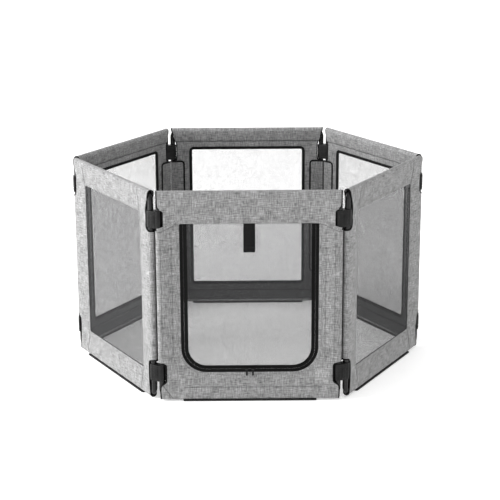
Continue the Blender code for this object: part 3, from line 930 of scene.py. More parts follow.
def rounded_box(size, centre=(0, 0, 0), bevel=0.0005, segments=3):
    solid = bmesh.new()
    bmesh.ops.create_cube(solid, size=1.0)
    bmesh.ops.scale(solid, vec=size, verts=solid.verts)
    bmesh.ops.bevel(solid, geom=solid.edges, offset=bevel, segments=segments, affect="EDGES", profile=0.5)
    bmesh.ops.translate(solid, vec=centre, verts=solid.verts)
    mesh = bpy.data.meshes.new("box")
    solid.to_mesh(mesh)
    solid.free()
    smooth(mesh, 30)
    return mesh


def turned(profile, centre, axis="Y", sides=28):
    """A body of revolution from (radius, along) pairs."""
    verts, faces = [], []
    for radius, along in profile:
        for k in range(sides):
            a = 2 * math.pi * k / sides
            c, s = radius * math.cos(a), radius * math.sin(a)
            p = {"X": (along, c, s), "Y": (c, along, s), "Z": (c, s, along)}[axis]
            verts.append((p[0] + centre[0], p[1] + centre[1], p[2] + centre[2]))
    n = len(profile)
    for i in range(n - 1):
        for k in range(sides):
            l = (k + 1) % sides
            faces.append((i * sides + k, i * sides + l, (i + 1) * sides + l, (i + 1) * sides + k))
    faces.append(tuple(range(sides))[::-1])
    faces.append(tuple((n - 1) * sides + k for k in range(sides)))
    mesh = mesh_from(verts, faces)
    solid = bmesh.new()
    solid.from_mesh(mesh)
    bmesh.ops.recalc_face_normals(solid, faces=solid.faces)
    solid.to_mesh(mesh)
    solid.free()
    smooth(mesh, 35)
    return mesh


# ---------------------------------------------------------------- covers

REGULAR = (TUBE_X - BAND_SIDE, STRIP[2] + 0.0003 + BAND_BOTTOM, HEIGHT - BAND_TOP, 0.006, 0.006)
DOORWAY = (DOOR_HALF_W + 0.0003, DOOR_LOW_Z - 0.0003, DOOR_TOP_Z, DOOR_R, 0.006)


def line_rows(points, offsets=(-0.0016, -0.0008, 0, 0.0008, 0.0016), step=0.004):
    """Points along a line and beside it, for the mesh to follow a seam."""
    line = np.array(spaced(points, step, False))
    nrm = normals_2d(line, False)
    return [[tuple(p + n * o) for p, n in zip(line, nrm)] for o in offsets]


def dip(distance, depth=0.0006, width=0.0009):
    return -depth * np.exp(-((distance / width) ** 2))


def regular_features():
    half_w, low, high, _, _ = REGULAR
    rows_out = []
    for x in (-half_w, half_w):
        rows_out += line_rows([(x, high + 0.002), (x, TUBE_TOP_Z - 0.001)])
        rows_out += line_rows([(x, low - 0.002), (x, TUBE_LOW_Z + 0.001)])
    rows_in = []
    crease_top, crease_low = HEIGHT - 0.051, STRIP[2] + 0.050
    for z in (crease_top, crease_low):
        rows_in += line_rows([(-TUBE_X + 0.002, z), (TUBE_X - 0.002, z)])

    def groove_out(x, z):
        d = np.abs(np.abs(x) - half_w)
        step = np.where(np.abs(x) > half_w, 0.0005, 0.0)
        band = (z > high) | (z < low)
        return np.where(band, dip(d) + step * np.clip(d / 0.0012, 0, 1), 0.0005 * (np.abs(x) > half_w))

    def groove_in(x, z):
        above = np.clip((z - crease_top) / 0.0016, -1, 1)
        below = np.clip((crease_low - z) / 0.0016, -1, 1)
        lift = 0.0011 * np.maximum(above, 0) + 0.0011 * np.maximum(below, 0)
        return lift + dip(z - crease_top + 0.0008, 0.0016) + dip(z - crease_low - 0.0008, 0.0016)

    return rows_out, rows_in, groove_out, groove_in


BAND_HEM = [(DOOR_HALF_W - 0.004, DOOR_TOP_Z), (0.240, DOOR_TOP_Z - 0.003), (0.262, DOOR_TOP_Z - 0.0145), (0.282, DOOR_TOP_Z - 0.0235), (0.2985, DOOR_TOP_Z - 0.0275)]


def band_hem():
    """Folded lower edge of the top band, right across the door panel."""
    line = smoothed([(-x, z) for x, z in BAND_HEM[::-1]] + BAND_HEM, 2)
    line = [tuple(p) for p in spaced(line, 0.005, False) if abs(p[0]) < 0.2955]
    section = [(0.0115, 0.0012), (0.0115, 0.0019), (0.0075, 0.0024), (0.0020, 0.0032), (0.0002, 0.0032), (-0.0006, 0.0024), (-0.0006, 0.0011), (0.0008, 0.0008)]
    return line, section


# Sewn lines on the door panel's side bands: (x, from z, to z)
SIDE_SEAMS = [(-0.2855, 0.150, HEIGHT - 0.136), (-0.2500, 0.150, HEIGHT - 0.133), (0.2465, 0.151, HEIGHT - 0.133), (0.2770, 0.156, HEIGHT - 0.136)]


def front_features():
    crease = 0.047
    rows_out = line_rows([(-0.215, crease), (0.235, crease)])
    for x, low, high in SIDE_SEAMS:
        rows_out += line_rows([(x, low), (x, high)], offsets=(-0.0012, 0, 0.0012))
    cut = [((-1) * (PITCH / 2 - 0.052), 0.004), ((-1) * (PITCH / 2 - 0.004), 0.072)]
    rows_out += line_rows(cut, offsets=(-0.0012, -0.0004, 0.0004, 0.0012))
    # The top band lies over the side bands; its hem slopes down towards the notches
    hem_line = BAND_HEM
    for sign in (1, -1):
        rows_out += line_rows([(sign * x, z) for x, z in hem_line], offsets=(-0.0009, -0.0003, 0.0003, 0.0009), step=0.003)
    rows_in = []
    crease_top, crease_low = HEIGHT - 0.051, STRIP[2] + 0.050
    for z in (crease_top, crease_low):
        rows_in += line_rows([(-TUBE_X + 0.002, z), (TUBE_X - 0.002, z)])
    (ax, az), (bx, bz) = cut
    length = math.hypot(bx - ax, bz - az)

    def groove_out(x, z):
        in_line = np.clip((0.235 - np.abs(x - 0.01)) / 0.01, 0, 1)
        lift = dip(z - crease - 0.0012 * np.sin(x * 33), 0.0016, 0.0014) * in_line
        for seam, low, high in SIDE_SEAMS:
            lift = lift + dip(x - seam, 0.0004) * ((z > low) & (z < high))
        # beyond the diagonal edge the outer layer is cut away
        side = ((bx - ax) * (z - az) - (bz - az) * (x - ax)) / length
        gone = (side > 0) & (x < -0.2) & (z < 0.09)
        lift = lift - 0.0016 * np.clip(side / 0.0008, 0, 1) * gone
        hem_z = np.interp(np.abs(x), [p[0] for p in hem_line], [p[1] for p in hem_line])
        over = np.clip((z - hem_z) / 0.0016 + 0.5, 0, 1) * np.clip((TUBE_TOP_Z - z) / 0.03, 0, 1)
        beside = np.clip((np.abs(x) - DOOR_HALF_W + 0.003) / 0.004, 0, 1)
        above = np.clip((z - DOOR_TOP_Z) / 0.0009, 0, 1) * np.clip((TUBE_TOP_Z - z) / 0.03, 0, 1)
        return lift + 0.0013 * (over * beside + above * (1 - beside))

    def groove_in(x, z):
        above = np.clip((z - crease_top) / 0.0016, -1, 1)
        below = np.clip((crease_low - z) / 0.0016, -1, 1)
        lift = 0.0011 * np.maximum(above, 0) + 0.0011 * np.maximum(below, 0)
        return lift + dip(z - crease_top + 0.0008, 0.0016) + dip(z - crease_low - 0.0008, 0.0016)

    return rows_out, rows_in, groove_out, groove_in


half_w, low, high = REGULAR[:3]
# Painted shade along the side-band seams of the plain panels, and inside along the two creases
marks = [(x, a, x, b, 0.30, 0.0005) for x in (-half_w, half_w) for a, b in ((high + 0.002, TUBE_TOP_Z), (TUBE_LOW_Z, low - 0.002))]
inner_crease_shade = [(7.3 - TUBE_X, z, 7.3 + TUBE_X, z, 0.55, 0.0012) for z in (HEIGHT - 0.0518, STRIP[2] + 0.0508)]
LINEN_SIDE = linen("linen_side", marks=marks + inner_crease_shade)
# Painted shade on the door panel along its seams and the lower crease
marks = [(x, a, x, b, 0.26 if x < 0 else 0.20, 0.0005) for x, a, b in SIDE_SEAMS]
marks += [(-0.2855, 0.150, -0.250, 0.150, 0.24, 0.0004), (0.2465, 0.151, 0.262, 0.150, 0.30, 0.0004), (-0.215, 0.047, 0.235, 0.047, 0.28, 0.0006)]
# a broad, faint painted shade over the left side band, where the tube rounds the cloth
marks += [(-0.26775, 0.150, -0.26775, HEIGHT - 0.134, 0.08, 0.0172)]
# painted shadow along the diagonal edge of the outer layer
marks += [(-(PITCH / 2 - 0.052), 0.004, -(PITCH / 2 - 0.004), 0.072, 0.50, 0.0006)]
# painted shadow just under the hem of the top band
for sign in (1, -1):
    for (x0, z0), (x1, z1) in zip(BAND_HEM, BAND_HEM[1:]):
        marks.append((sign * x0, z0 - 0.0016, sign * x1, z1 - 0.0016, 0.42, 0.0008))
# painted shade of small wrinkles below the top band
marks += [(-0.262, HEIGHT - 0.119, -0.238, HEIGHT - 0.086, 0.16, 0.0004), (-0.280, HEIGHT - 0.116, -0.258, HEIGHT - 0.104, 0.14, 0.0004)]
marks += [(0.268, HEIGHT - 0.112, 0.286, HEIGHT - 0.070, 0.14, 0.0004), (0.243, HEIGHT - 0.104, 0.270, HEIGHT - 0.121, 0.12, 0.0004)]
LINEN_FRONT = linen("linen_front", marks=marks + inner_crease_shade)

cutters = {False: notch_cutters(False), True: notch_cutters(True)}
tube = tube_mesh()

for number, panel in enumerate(PANELS):
    world = panel_frame(panel)
    body = "panel_" + panel
    is_front = panel == "front"
    cover = Cover(DOORWAY if is_front else REGULAR, panel)
    features = front_features() if is_front else regular_features()
    middle = cover_layers(cover, *features, seed=3.1 + 5.7 * number)
    cloth = cloth_solid(middle, CLOTH, cutters[is_front], is_front)
    piece("fabric_" + panel, cloth, LINEN_FRONT if is_front else LINEN_SIDE, body, world, ("cover_" + panel,))
    piece("tube_" + panel, tube.copy(), PAINT, body, world, ("frame_tube_" + panel,))
    tape = [notch_tape(cover, "tape")]
    half_w, low, high, r_low, r_high = cover.window
    hole = spaced(rounded_loop(half_w, low, high, r_low, r_high, 10), 0.006, True)
    flip = -1  # the loop runs anticlockwise, so its left is the window's inside
    hem = surface_band(
        cover, hole, -1,
        [(0.0085, 0.0), (0.0085, 0.0004), (0.0008, 0.0006), (-0.0008, 0.0001), (-0.0008, -0.0013), (0.001, -0.0016)],
        True, flip,
    )  # fmt: skip
    piece("hem_" + panel, hem, LINEN, body, world)
    if is_front:
        width = 0.004
    else:
        width = 0.0105
    tape.append(
        surface_band(
            cover, hole, 1,
            [(width, 0.0), (width, 0.0006), (0.0008, 0.0008), (-0.0010, 0.0001), (-0.0010, -0.0013), (0.001, -0.0016)],
            True, flip,
        )
    )  # fmt: skip
    piece("binding_" + panel, join_meshes(tape), TAPE, body, world)

    def ring(offset):
        return (
            spaced(
                rounded_loop(half_w + offset, low - offset, high + offset, max(r_low + offset, 0.001), r_high + offset, 10),
                0.006,
                True,
            ),
            True,
        )

    lines = [ring(0.0062)]
    if not is_front:
        for x in (-half_w, half_w):
            for dx in (-0.0022, 0.0022):
                lines.append(([(x + dx, high + 0.009), (x + dx, TUBE_TOP_Z)], False))
                lines.append(([(x + dx, low - 0.009), (x + dx, TUBE_LOW_Z)], False))
    if is_front:
        line, section = band_hem()
        band = surface_band(cover, line, -1, section, False, 1)
        piece("band_hem", band, LINEN, body, world)
        lines.append(([(x, z + 0.0075) for x, z in line if abs(x) < 0.268], False))
    thread = stitches(cover, lines, -1, 0.0022 if is_front else 0.0006)
    if is_front:
        extra = [([(x, a + 0.001), (x, b - 0.001)], False) for x, a, b in SIDE_SEAMS]
        extra.append(([(-0.284, 0.150), (-0.2515, 0.150)], False))
        thread = join_meshes([thread, stitches(cover, extra, -1, 0.0004)])
    piece("stitch_" + panel, thread, THREAD_GREY, body, world)
    thread = stitches(cover, [ring(width - 0.0018)], 1, 0.0008)
    piece("stitch_inner_" + panel, thread, THREAD_BLACK, body, world)

    # Base strip with rounded ends and edges
    sx, sy, sz = STRIP
    half_x, half_y = sx / 2, sy / 2
    loop = (
        arc(half_x - 0.006, -half_y + 0.006, 0.006, -90, 0, 5)
        + arc(half_x - 0.006, half_y - 0.006, 0.006, 0, 90, 5)
        + arc(-half_x + 0.006, half_y - 0.006, 0.006, 90, 180, 5)
        + arc(-half_x + 0.006, -half_y + 0.006, 0.006, 180, 270, 5)
    )
    strip = outline_solid([loop], sz, 0.0008)
    strip.transform(Matrix.Translation((0, 0, sz / 2)))
    smooth(strip, 35)
    piece("strip_" + panel, strip, FOOT, body, world, ("base_strip_" + panel,))

for cutter in cutters.values():
    bpy.data.objects.remove(cutter, do_unlink=True)

# ---------------------------------------------------------------- nets and door


def slab(xy, tri, y_of, thickness):
    """Closed sheet over a flat triangulation."""
    n = len(xy)
    y = y_of(xy[:, 0], xy[:, 1])
    verts = np.concatenate(
        [np.stack([xy[:, 0], y - thickness / 2, xy[:, 1]], -1), np.stack([xy[:, 0], y + thickness / 2, xy[:, 1]], -1)]
    )
    faces = tri.tolist() + (tri[:, ::-1] + n).tolist()
    directed = {(a, b) for t in tri.tolist() for a, b in zip(t, t[1:] + t[:1])}
    for a, b in directed:
        if (b, a) not in directed:
            faces.append((b, a, a + n, b + n))
    uvs = np.concatenate([xy, xy])
    mesh = mesh_from(verts, faces, uvs, "sheet")
    smooth(mesh, 50)
    return mesh


def ripple(seed, depth, free):
    def y_of(x, z):
        out = np.array([wave((a, 0, b), 6.5, seed) + 0.35 * wave((a, 0, b), 19, seed + 4) for a, b in zip(x, z)])
        return out * depth * free(x, z)

    return y_of


def net_sheet(window, seed):
    half_w, low, high, r_low, r_high = window
    grow = 0.008
    loop = spaced(rounded_loop(half_w + grow, low - grow, high + grow, 0.006, 0.006, 4), 0.009, True)
    grid = hex_grid(-half_w - grow, half_w + grow, low - grow, high + grow, 0.0105)
    outline = (half_w + grow, low - grow, high + grow, 0.006, 0.006)
    grid = grid[rect_distance(grid[:, 0], grid[:, 1], *outline) < -0.004]
    xy, tri = triangulate(grid, [([tuple(p) for p in loop], True)], lambda x, z: rect_distance(x, z, *outline) < 0)
    free = lambda x, z: np.clip(-rect_distance(x, z, *window) / 0.05, 0, 1)
    return slab(xy, tri, ripple(seed, 0.0022, free), NET_SHEET)


for number, panel in enumerate(PANELS):
    if panel != "front":
        material = NET_NEAR if panel in ("front_left", "front_right") else NET_FAR
        net = net_sheet(REGULAR, 11.0 + 3 * number)
        piece("net_" + panel, net, material, "panel_" + panel, panel_frame(panel), ("mesh_" + panel,))


def u_path(offset, steps=14, drop=0.003):
    middle = ZIP_BAND / 2
    half_w, low, r = DOOR_HALF_W - middle + offset, DOOR_LOW_Z + middle - offset, DOOR_R - middle + offset
    top = HINGE_Z - drop
    return (
        [(-half_w, top)]
        + arc(-half_w + r, low + r, r, 180, 270, steps)
        + arc(half_w - r, low + r, r, 270, 360, steps)
        + [(half_w, top)]
    )


def flat_band(line, section, closed=False, flip=-1, uv_swap=False):
    """A band beside a line in the panel's plane; the section holds (distance, y) pairs."""
    pts = np.array(line, float)
    nrm = normals_2d(pts, closed) * flip
    rows = [[np.array((x + nx * w, y, z + nz * w)) for w, y in section] for (x, z), (nx, nz) in zip(pts, nrm)]
    return sweep(rows, closed)


def teeth(line, w, pitch, phase):
    """One row of coil teeth beside the zip's line."""
    pts = np.array(spaced(line, 0.0004, False))
    nrm = normals_2d(pts, False) * -1
    run = np.concatenate([[0], np.cumsum(np.linalg.norm(np.diff(pts, axis=0), axis=1))])
    verts, faces = [], []
    at = phase
    while at < run[-1] - 0.001:
        i = int(np.searchsorted(run, at))
        (x, z), (nx, nz) = pts[i], nrm[i]
        tx, tz = nz, -nx
        base = len(verts)
        for y, grow in ((-0.0010, 1.0), (-0.0016, 1.0), (-0.00195, 0.55)):
            for a, b in ((-1, -1), (1, -1), (1, 1), (-1, 1)):
                along, across = a * 0.00048 * grow, b * 0.00105 * grow
                verts.append((x + tx * along + nx * (w + across), y, z + tz * along + nz * (w + across)))
        faces.append(tuple(base + k for k in (3, 2, 1, 0)))
        for level in (0, 4):
            for k in range(4):
                l = (k + 1) % 4
                faces.append((base + level + k, base + level + l, base + level + 4 + l, base + level + 4 + k))
        faces.append(tuple(base + 8 + k for k in range(4)))
        at += pitch
    mesh = mesh_from(verts, faces)
    solid = bmesh.new()
    solid.from_mesh(mesh)
    bmesh.ops.recalc_face_normals(solid, faces=solid.faces)
    solid.to_mesh(mesh)
    solid.free()
    smooth(mesh, 35)
    return mesh


front = panel_frame("front")
front_cover = Cover(DOORWAY, "front")
zip_line = [tuple(p) for p in spaced(u_path(0.0, drop=0.006), 0.005, False)]
tape_out = flat_band(
    zip_line,
    [(0.0001, -0.0006), (0.0001, -0.0009), (0.0018, -0.0015), (0.0105, -0.0014), (0.0122, -0.0009), (0.0180, -0.0008), (0.0180, -0.0005)],
)  # fmt: skip
piece("zip_tape_panel", tape_out, ZIPPER, "panel_front", front, ("zip_panel_side",))
tape_in = flat_band(
    zip_line,
    [(-0.0001, -0.0006), (-0.0120, -0.0005), (-0.0124, -0.0012), (-0.0117, -0.0021), (-0.0100, -0.0021),
     (-0.0093, -0.0014), (-0.0018, -0.0015), (-0.0001, -0.0009)],
)  # fmt: skip
piece("zip_tape_door", tape_in, ZIPPER, "door", front, ("zip_door_side",))
piece("zip_teeth_panel", teeth(zip_line, 0.0011, 0.0018, 0.0005), TEETH, "panel_front", front)
piece("zip_teeth_door", teeth(zip_line, -0.0011, 0.0018, 0.0014), TEETH, "door", front)

loop = [tuple(p) for p in spaced(u_path(-0.004), 0.008, False)]
top_edge = [tuple(p) for p in spaced([loop[-1], loop[0]], 0.008, False)][1:-1]
door_loop = loop + top_edge
net_w, net_low, net_top = abs(loop[0][0]), min(p[1] for p in loop), loop[0][1]
net_r = DOOR_R - ZIP_BAND / 2 - 0.004


def door_inside(x, z):
    return rect_distance(x, z, net_w, net_low, net_top, net_r, 0.0005)


grid = hex_grid(-net_w, net_w, net_low, net_top, 0.0105)
grid = grid[door_inside(grid[:, 0], grid[:, 1]) < -0.004]
xy, tri = triangulate(grid, [(door_loop, True)], lambda x, z: door_inside(x, z) < 1e-5)
net = slab(xy, tri, ripple(51.0, 0.0020, lambda x, z: np.clip(-door_inside(x, z) / 0.06 - 0.1, 0, 1)), NET_SHEET)
piece("door_net", net, NET_DOOR, "door", front, ("door_mesh",))

# The door's net runs up under the hem of the band; this strip of it is built in place


def hinge_strip(low_x, high_x, section, count):
    """Closed strip across the door's top; the section holds (y, height above the hem) pairs."""
    rows = []
    for x in np.linspace(low_x, high_x, count):
        rows.append([np.array((x, y, DOOR_TOP_Z + z)) for y, z in section])
    return sweep(rows, False)


def bent(name, mesh, material):
    obj = new_object(name, mesh, material, front)
    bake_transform(obj)
    return obj


levels = [0.0050, 0.0030, 0.0012, 0.0004, -0.0004, -0.0012, -0.0020, -0.0028, -0.0036, -0.0046]
net_section = [(-NET_SHEET / 2, z) for z in levels] + [(NET_SHEET / 2, z) for z in levels[::-1]]
bent("door_net_top", hinge_strip(-DOOR_HALF_W + 0.010, DOOR_HALF_W - 0.010, net_section, 50), NET_DOOR)
levels = levels[:-1] + [-0.0052, -0.0078]
front_y = [-0.00075, -0.00075, -0.00075, -0.0008, -0.0009, -0.0010, -0.0011, -0.0012, -0.0013, -0.0014, -0.0014]
tape_section = list(zip(front_y, levels)) + [(y + 0.0005, z) for y, z in list(zip(front_y, levels))[::-1]]
for sign in (-1, 1):
    near, far = sign * (DOOR_HALF_W - 0.0122), sign * (DOOR_HALF_W - 0.0244)
    side = "left" if sign < 0 else "right"
    bent("zip_head_door_" + side, hinge_strip(near, far, tape_section, 8), ZIPPER)
    head = hinge_strip(sign * (DOOR_HALF_W - 0.0119), sign * (DOOR_HALF_W + 0.0050), tape_section, 8)
    piece("zip_head_panel_" + side, head, ZIPPER, "panel_front", front)

# Roll-up strap: woven webbing with a folded end, sewn under the hem of the top band
strap_y = -NET / 2 - 0.0008 - STRAP[1] / 2
strap_top = HINGE_Z - 0.0028
rows, cols = 40, 14
verts, faces, uvs = [], [], []


def strap_point(u, v, face):
    """u across from -1 to 1, v down from 0 to 1, face -1 front or 1 back."""
    z = strap_top - STRAP[2] * v
    width = STRAP[0] / 2 * (1.0 + 0.02 * v)
    swing = -0.0016 * v * v + 0.0007 * math.sin(v * 5.0) * v
    cup = -0.0005 * (u * u) * v
    thick = STRAP[1] / 2 * (1 - 0.45 * abs(u) ** 8)
    if v > 0.80:
        thick += 0.0008 * min(1.0, (v - 0.80) / 0.012) * (1 - 0.4 * abs(u) ** 8)
    if v > 0.985:
        thick *= 0.72
    return np.array((u * width, strap_y + swing + cup - 0.0004 * v + face * thick, z))


grid_u = [-1 + 2 * k / cols for k in range(cols + 1)]
grid_v = sorted({*(k / rows for k in range(rows + 1)), 0.802, 0.8125, 0.985, 0.993})
for face in (-1, 1):
    for v in grid_v:
        for u in grid_u:
            verts.append(strap_point(u, v, face))
            uvs.append((u * STRAP[0] / 2, v * STRAP[2]))
nu, nv = len(grid_u), len(grid_v)
for layer, face in enumerate((-1, 1)):
    base = layer * nu * nv
    for i in range(nv - 1):
        for k in range(nu - 1):
            a = base + i * nu + k
            quad = (a, a + nu, a + nu + 1, a + 1)
            faces.append(quad if face < 0 else quad[::-1])
ring = (
    [k for k in range(nu)]
    + [i * nu + nu - 1 for i in range(1, nv)]
    + [(nv - 1) * nu + k for k in range(nu - 2, -1, -1)]
    + [i * nu for i in range(nv - 2, 0, -1)]
)
for a, b in zip(ring, ring[1:] + ring[:1]):
    faces.append((a, b, b + nu * nv, a + nu * nv))
strap_mesh = mesh_from(verts, faces, uvs, "strap")
solid = bmesh.new()
solid.from_mesh(strap_mesh)
bmesh.ops.recalc_face_normals(solid, faces=solid.faces)
solid.to_mesh(strap_mesh)
solid.free()
smooth(strap_mesh, 45)
piece("strap", strap_mesh, WEBBING, "door_strap", front, ("door_strap",))
rows = []
for x in np.linspace(-STRAP[0] / 2 + 0.0006, STRAP[0] / 2 - 0.0006, 9):
    rows.append([np.array((x, y, z)) for y, z in (
        (-0.00055, DOOR_TOP_Z + 0.0040), (-0.00060, DOOR_TOP_Z + 0.0006), (-0.0010, DOOR_TOP_Z - 0.0012), (strap_y - 0.0003, DOOR_TOP_Z - 0.0030),
        (strap_y - 0.0003, strap_top - 0.0008), (strap_y + 0.0003, strap_top - 0.0008), (strap_y + 0.0003, DOOR_TOP_Z - 0.0026),
        (-0.00055, DOOR_TOP_Z - 0.0010), (-0.00045, DOOR_TOP_Z + 0.0006), (-0.00045, DOOR_TOP_Z + 0.0040))])  # fmt: skip
root = new_object("strap_root", sweep(rows, False), WEBBING, front)
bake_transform(root)


def strap_threads():
    """A sewn box near the folded end of the strap."""
    verts, faces = [], []
    corners = [(-0.80, 0.835), (0.80, 0.835), (0.80, 0.965), (-0.80, 0.965), (-0.80, 0.835)]
    steps = []
    for (u0, v0), (u1, v1) in zip(corners, corners[1:]):
        length = math.hypot((u1 - u0) * STRAP[0] / 2, (v1 - v0) * STRAP[2])
        count = max(2, int(length / 0.0026))
        steps += [(u0 + (u1 - u0) * (k + 0.5) / count, v0 + (v1 - v0) * (k + 0.5) / count, u1 != u0) for k in range(count)]
    for u, v, level in steps:
        p = strap_point(u, v, -1)
        base = len(verts)
        dx, dz = (0.0009, 0.00030) if level else (0.00030, 0.0009)
        for y, g in ((0.0002, 1.0), (-0.00030, 0.7)):
            for a, b in ((-1, -1), (1, -1), (1, 1), (-1, 1)):
                verts.append((p[0] + a * dx * g, p[1] + y, p[2] + b * dz * g))
        faces += [tuple(base + k for k in f) for f in ((0, 1, 2, 3), (7, 6, 5, 4), (0, 4, 5, 1), (1, 5, 6, 2), (2, 6, 7, 3), (3, 7, 4, 0))]
    mesh = mesh_from(verts, faces)
    solid = bmesh.new()
    solid.from_mesh(mesh)
    bmesh.ops.recalc_face_normals(solid, faces=solid.faces)
    solid.to_mesh(mesh)
    solid.free()
    return mesh


piece("strap_threads", strap_threads(), THREAD_BLACK, "door_strap", front)

# Sliders and pulls
zip_z = DOOR_LOW_Z + ZIP_BAND / 2
pin_y = -NET / 2 - 0.0003 - ZIP_T - 0.0003 - SLIDER[1] - PIN_Y


def slider_body():
    """Slider with a Y-shaped face plate, side flanges and an arched bridge; origin on its pin."""
    sx, sy, sz = SLIDER
    plate = [
        (-sx / 2, -0.0022), (-sx / 2 + 0.0012, -0.0036), (-0.0012, -0.0034), (0.0022, -0.0045), (sx / 2 - 0.0016, -0.0045),
        (sx / 2, -0.0030), (sx / 2, -0.0010), (sx / 2 - 0.0012, 0.0), (sx / 2, 0.0010), (sx / 2, 0.0030),
        (sx / 2 - 0.0016, 0.0045), (0.0022, 0.0045), (-0.0012, 0.0034), (-sx / 2 + 0.0012, 0.0036), (-sx / 2, 0.0022),
    ]  # fmt: skip
    face = outline_solid([plate], 0.0013, 0.00035, upright=True)
    face.transform(Matrix.Translation((0, PIN_Y + 0.00065, 0)))
    smooth(face, 35)
    inner = [(u * 0.86, v * 0.90) for u, v in plate]
    core = outline_solid([inner], 0.0022, 0.0002, upright=True)
    core.transform(Matrix.Translation((0, PIN_Y + 0.0013 + 0.0011 - 0.0001, 0)))
    smooth(core, 35)
    arch_pts = [(-0.0042, PIN_Y + 0.0004), (-0.0040, 0.0008), (-0.0030, -0.0009), (-0.0012, -0.0018), (0.0012, -0.0018),
                (0.0030, -0.0009), (0.0040, 0.0008), (0.0042, PIN_Y + 0.0004)]  # fmt: skip
    path = smoothed(arch_pts, 2)
    rows = []
    for i, p in enumerate(path):
        t = path[min(i + 1, len(path) - 1)] - path[max(i - 1, 0)]
        t /= np.linalg.norm(t)
        nx, ny = -t[1], t[0]
        rows.append([
            np.array((p[0] + nx * a, p[1] + ny * a, b))
            for a, b in ((-0.0004, -0.0010), (0.0004, -0.0010), (0.0005, 0.0), (0.0004, 0.0010), (-0.0004, 0.0010), (-0.0005, 0.0))
        ])  # fmt: skip
    return join_meshes([face, core, sweep(rows, False)], "slider")


def pull_tab():
    """Tab with a rounded foot, a waist and a raised rim, hanging from a ring round the pin."""
    w, t, length = PULL
    h = w / 2
    outline = (
        [(-h * 0.62, -0.0030), (-h * 0.75, -0.0060), (-h, -0.0105)]
        + arc(-h + 0.0022, -0.0027 - length + 0.0022, 0.0022, 180, 270, 5)
        + arc(h - 0.0022, -0.0027 - length + 0.0022, 0.0022, 270, 360, 5)
        + [(h, -0.0105), (h * 0.75, -0.0060), (h * 0.62, -0.0030)]
        + arc(0, -0.0030, h * 0.60, 0, 180, 8)[1:-1]
    )
    hole = arc(0, -0.0078, 0.0009, 0, 360, 12)[:-1]
    tab = outline_solid([outline, hole], t, 0.0004, upright=True)
    smooth(tab, 35)
    ring = turned([(0.0008, -0.0019), (0.0017, -0.0019), (0.0020, -0.0016), (0.0020, 0.0016), (0.0017, 0.0019), (0.0008, 0.0019)], (0, 0, 0), "X", 20)
    return join_meshes([tab, ring], "pull")


def pull_foot():
    """Bright metal loop pressed round the end of the pull."""
    w, t, length = PULL
    h = w / 2 + 0.0003
    end = -0.0027 - length
    outline = (
        [(-h, end + 0.0030), (-h, end - 0.0008)]
        + arc(0, end - 0.0008, h, 180, 360, 12)[1:-1]
        + [(h, end - 0.0008), (h, end + 0.0030)]
    )
    hole = arc(0, end - 0.0008, h - 0.0013, 0, 360, 16)[:-1]
    foot = outline_solid([outline, hole], t + 0.0006, 0.0003, upright=True)
    smooth(foot, 35)
    return foot


for side, x in (("left", -SLIDER_X), ("right", SLIDER_X)):
    at = front @ Matrix.Translation((x, pin_y, zip_z))
    mirror = Matrix.Scale(-1 if side == "left" else 1, 4, (1, 0, 0))
    body = slider_body()
    body.transform(mirror)
    if side == "left":
        body.flip_normals()
    piece("slider_" + side, body, LACQUER, "zip_slider_" + side, at, ("zip_slider_" + side,))
    piece("pull_" + side, pull_tab(), CLIP, "zip_pull_" + side, at, ("zip_pull_" + side,))
    piece("pull_foot_" + side, pull_foot(), SILVER, "zip_pull_" + side, at)

# Blank sewn patch on the door panel's lower right
px, pz, pw, ph, n = 0.239, 0.084, 0.050, 0.053, 16
verts, faces, uvs = [], [], []
for lift in (0.0013, -0.0004):
    for i in range(n + 1):
        for k in range(n + 1):
            u, v = px - pw / 2 + pw * k / n, pz - ph / 2 + ph * i / n
            edge = 1.0 if 0 < i < n and 0 < k < n else 0.45
            verts.append(front_cover.at(u, v, -1, lift * (edge if lift > 0 else 1)))
            uvs.append((u + 3, v))
m = (n + 1) ** 2
for i in range(n):
    for k in range(n):
        a = i * (n + 1) + k
        faces.append((a, a + 1, a + n + 2, a + n + 1))
        faces.append((m + a, m + a + n + 1, m + a + n + 2, m + a + 1))
ring = (
    [k for k in range(n + 1)]
    + [i * (n + 1) + n for i in range(1, n + 1)]
    + [n * (n + 1) + k for k in range(n - 1, -1, -1)]
    + [i * (n + 1) for i in range(n - 1, 0, -1)]
)
for a, b in zip(ring, ring[1:] + ring[:1]):
    faces.append((b, a, a + m, b + m))
patch = mesh_from(verts, faces, uvs, "patch")
smooth(patch, 45)
piece("blank_patch", patch, PATCH, "panel_front", front)
inset = 0.0028
outline = [
    (px - pw / 2 + inset, pz - ph / 2 + inset), (px + pw / 2 - inset, pz - ph / 2 + inset),
    (px + pw / 2 - inset, pz + ph / 2 - inset), (px - pw / 2 + inset, pz + ph / 2 - inset),
]  # fmt: skip
piece("patch_threads", stitches(front_cover, [(outline, True)], -1, 0.0015), THREAD_GREY, "panel_front", front)

# ---------------------------------------------------------------- clamps


def clamp_outline(open_jaw, grow=0.0):
    a, r, bore = TUBE_PAIR / 2, CLAMP_R + grow, CLAMP_BORE_R
    lip = 38
    boss = [(-0.0090, -r), (-0.0072, -r - 0.0012), (0.0072, -r - 0.0012), (0.0090, -r)]
    if open_jaw:
        reach = a + 0.011
        outer = [(reach, bore), (reach + 0.0012, bore + 0.0012), (reach, r)] + arc(-a, 0, r, 90, 270, 20) + boss
        outer += [(reach, -r), (reach + 0.0012, -bore - 0.0012), (reach, -bore)] + arc(a, 0, bore, -90, -270, 20)
    else:
        outer = arc(a, 0, r, lip, 90, 8) + arc(-a, 0, r, 90, 270, 20) + boss
        outer += arc(a, 0, r, 270, 360 - lip, 8) + arc(a, 0, bore, 360 - lip, lip, 26)
    hole = arc(-a, 0, bore, 0, 360, 40)[:-1]
    return [outer, hole]


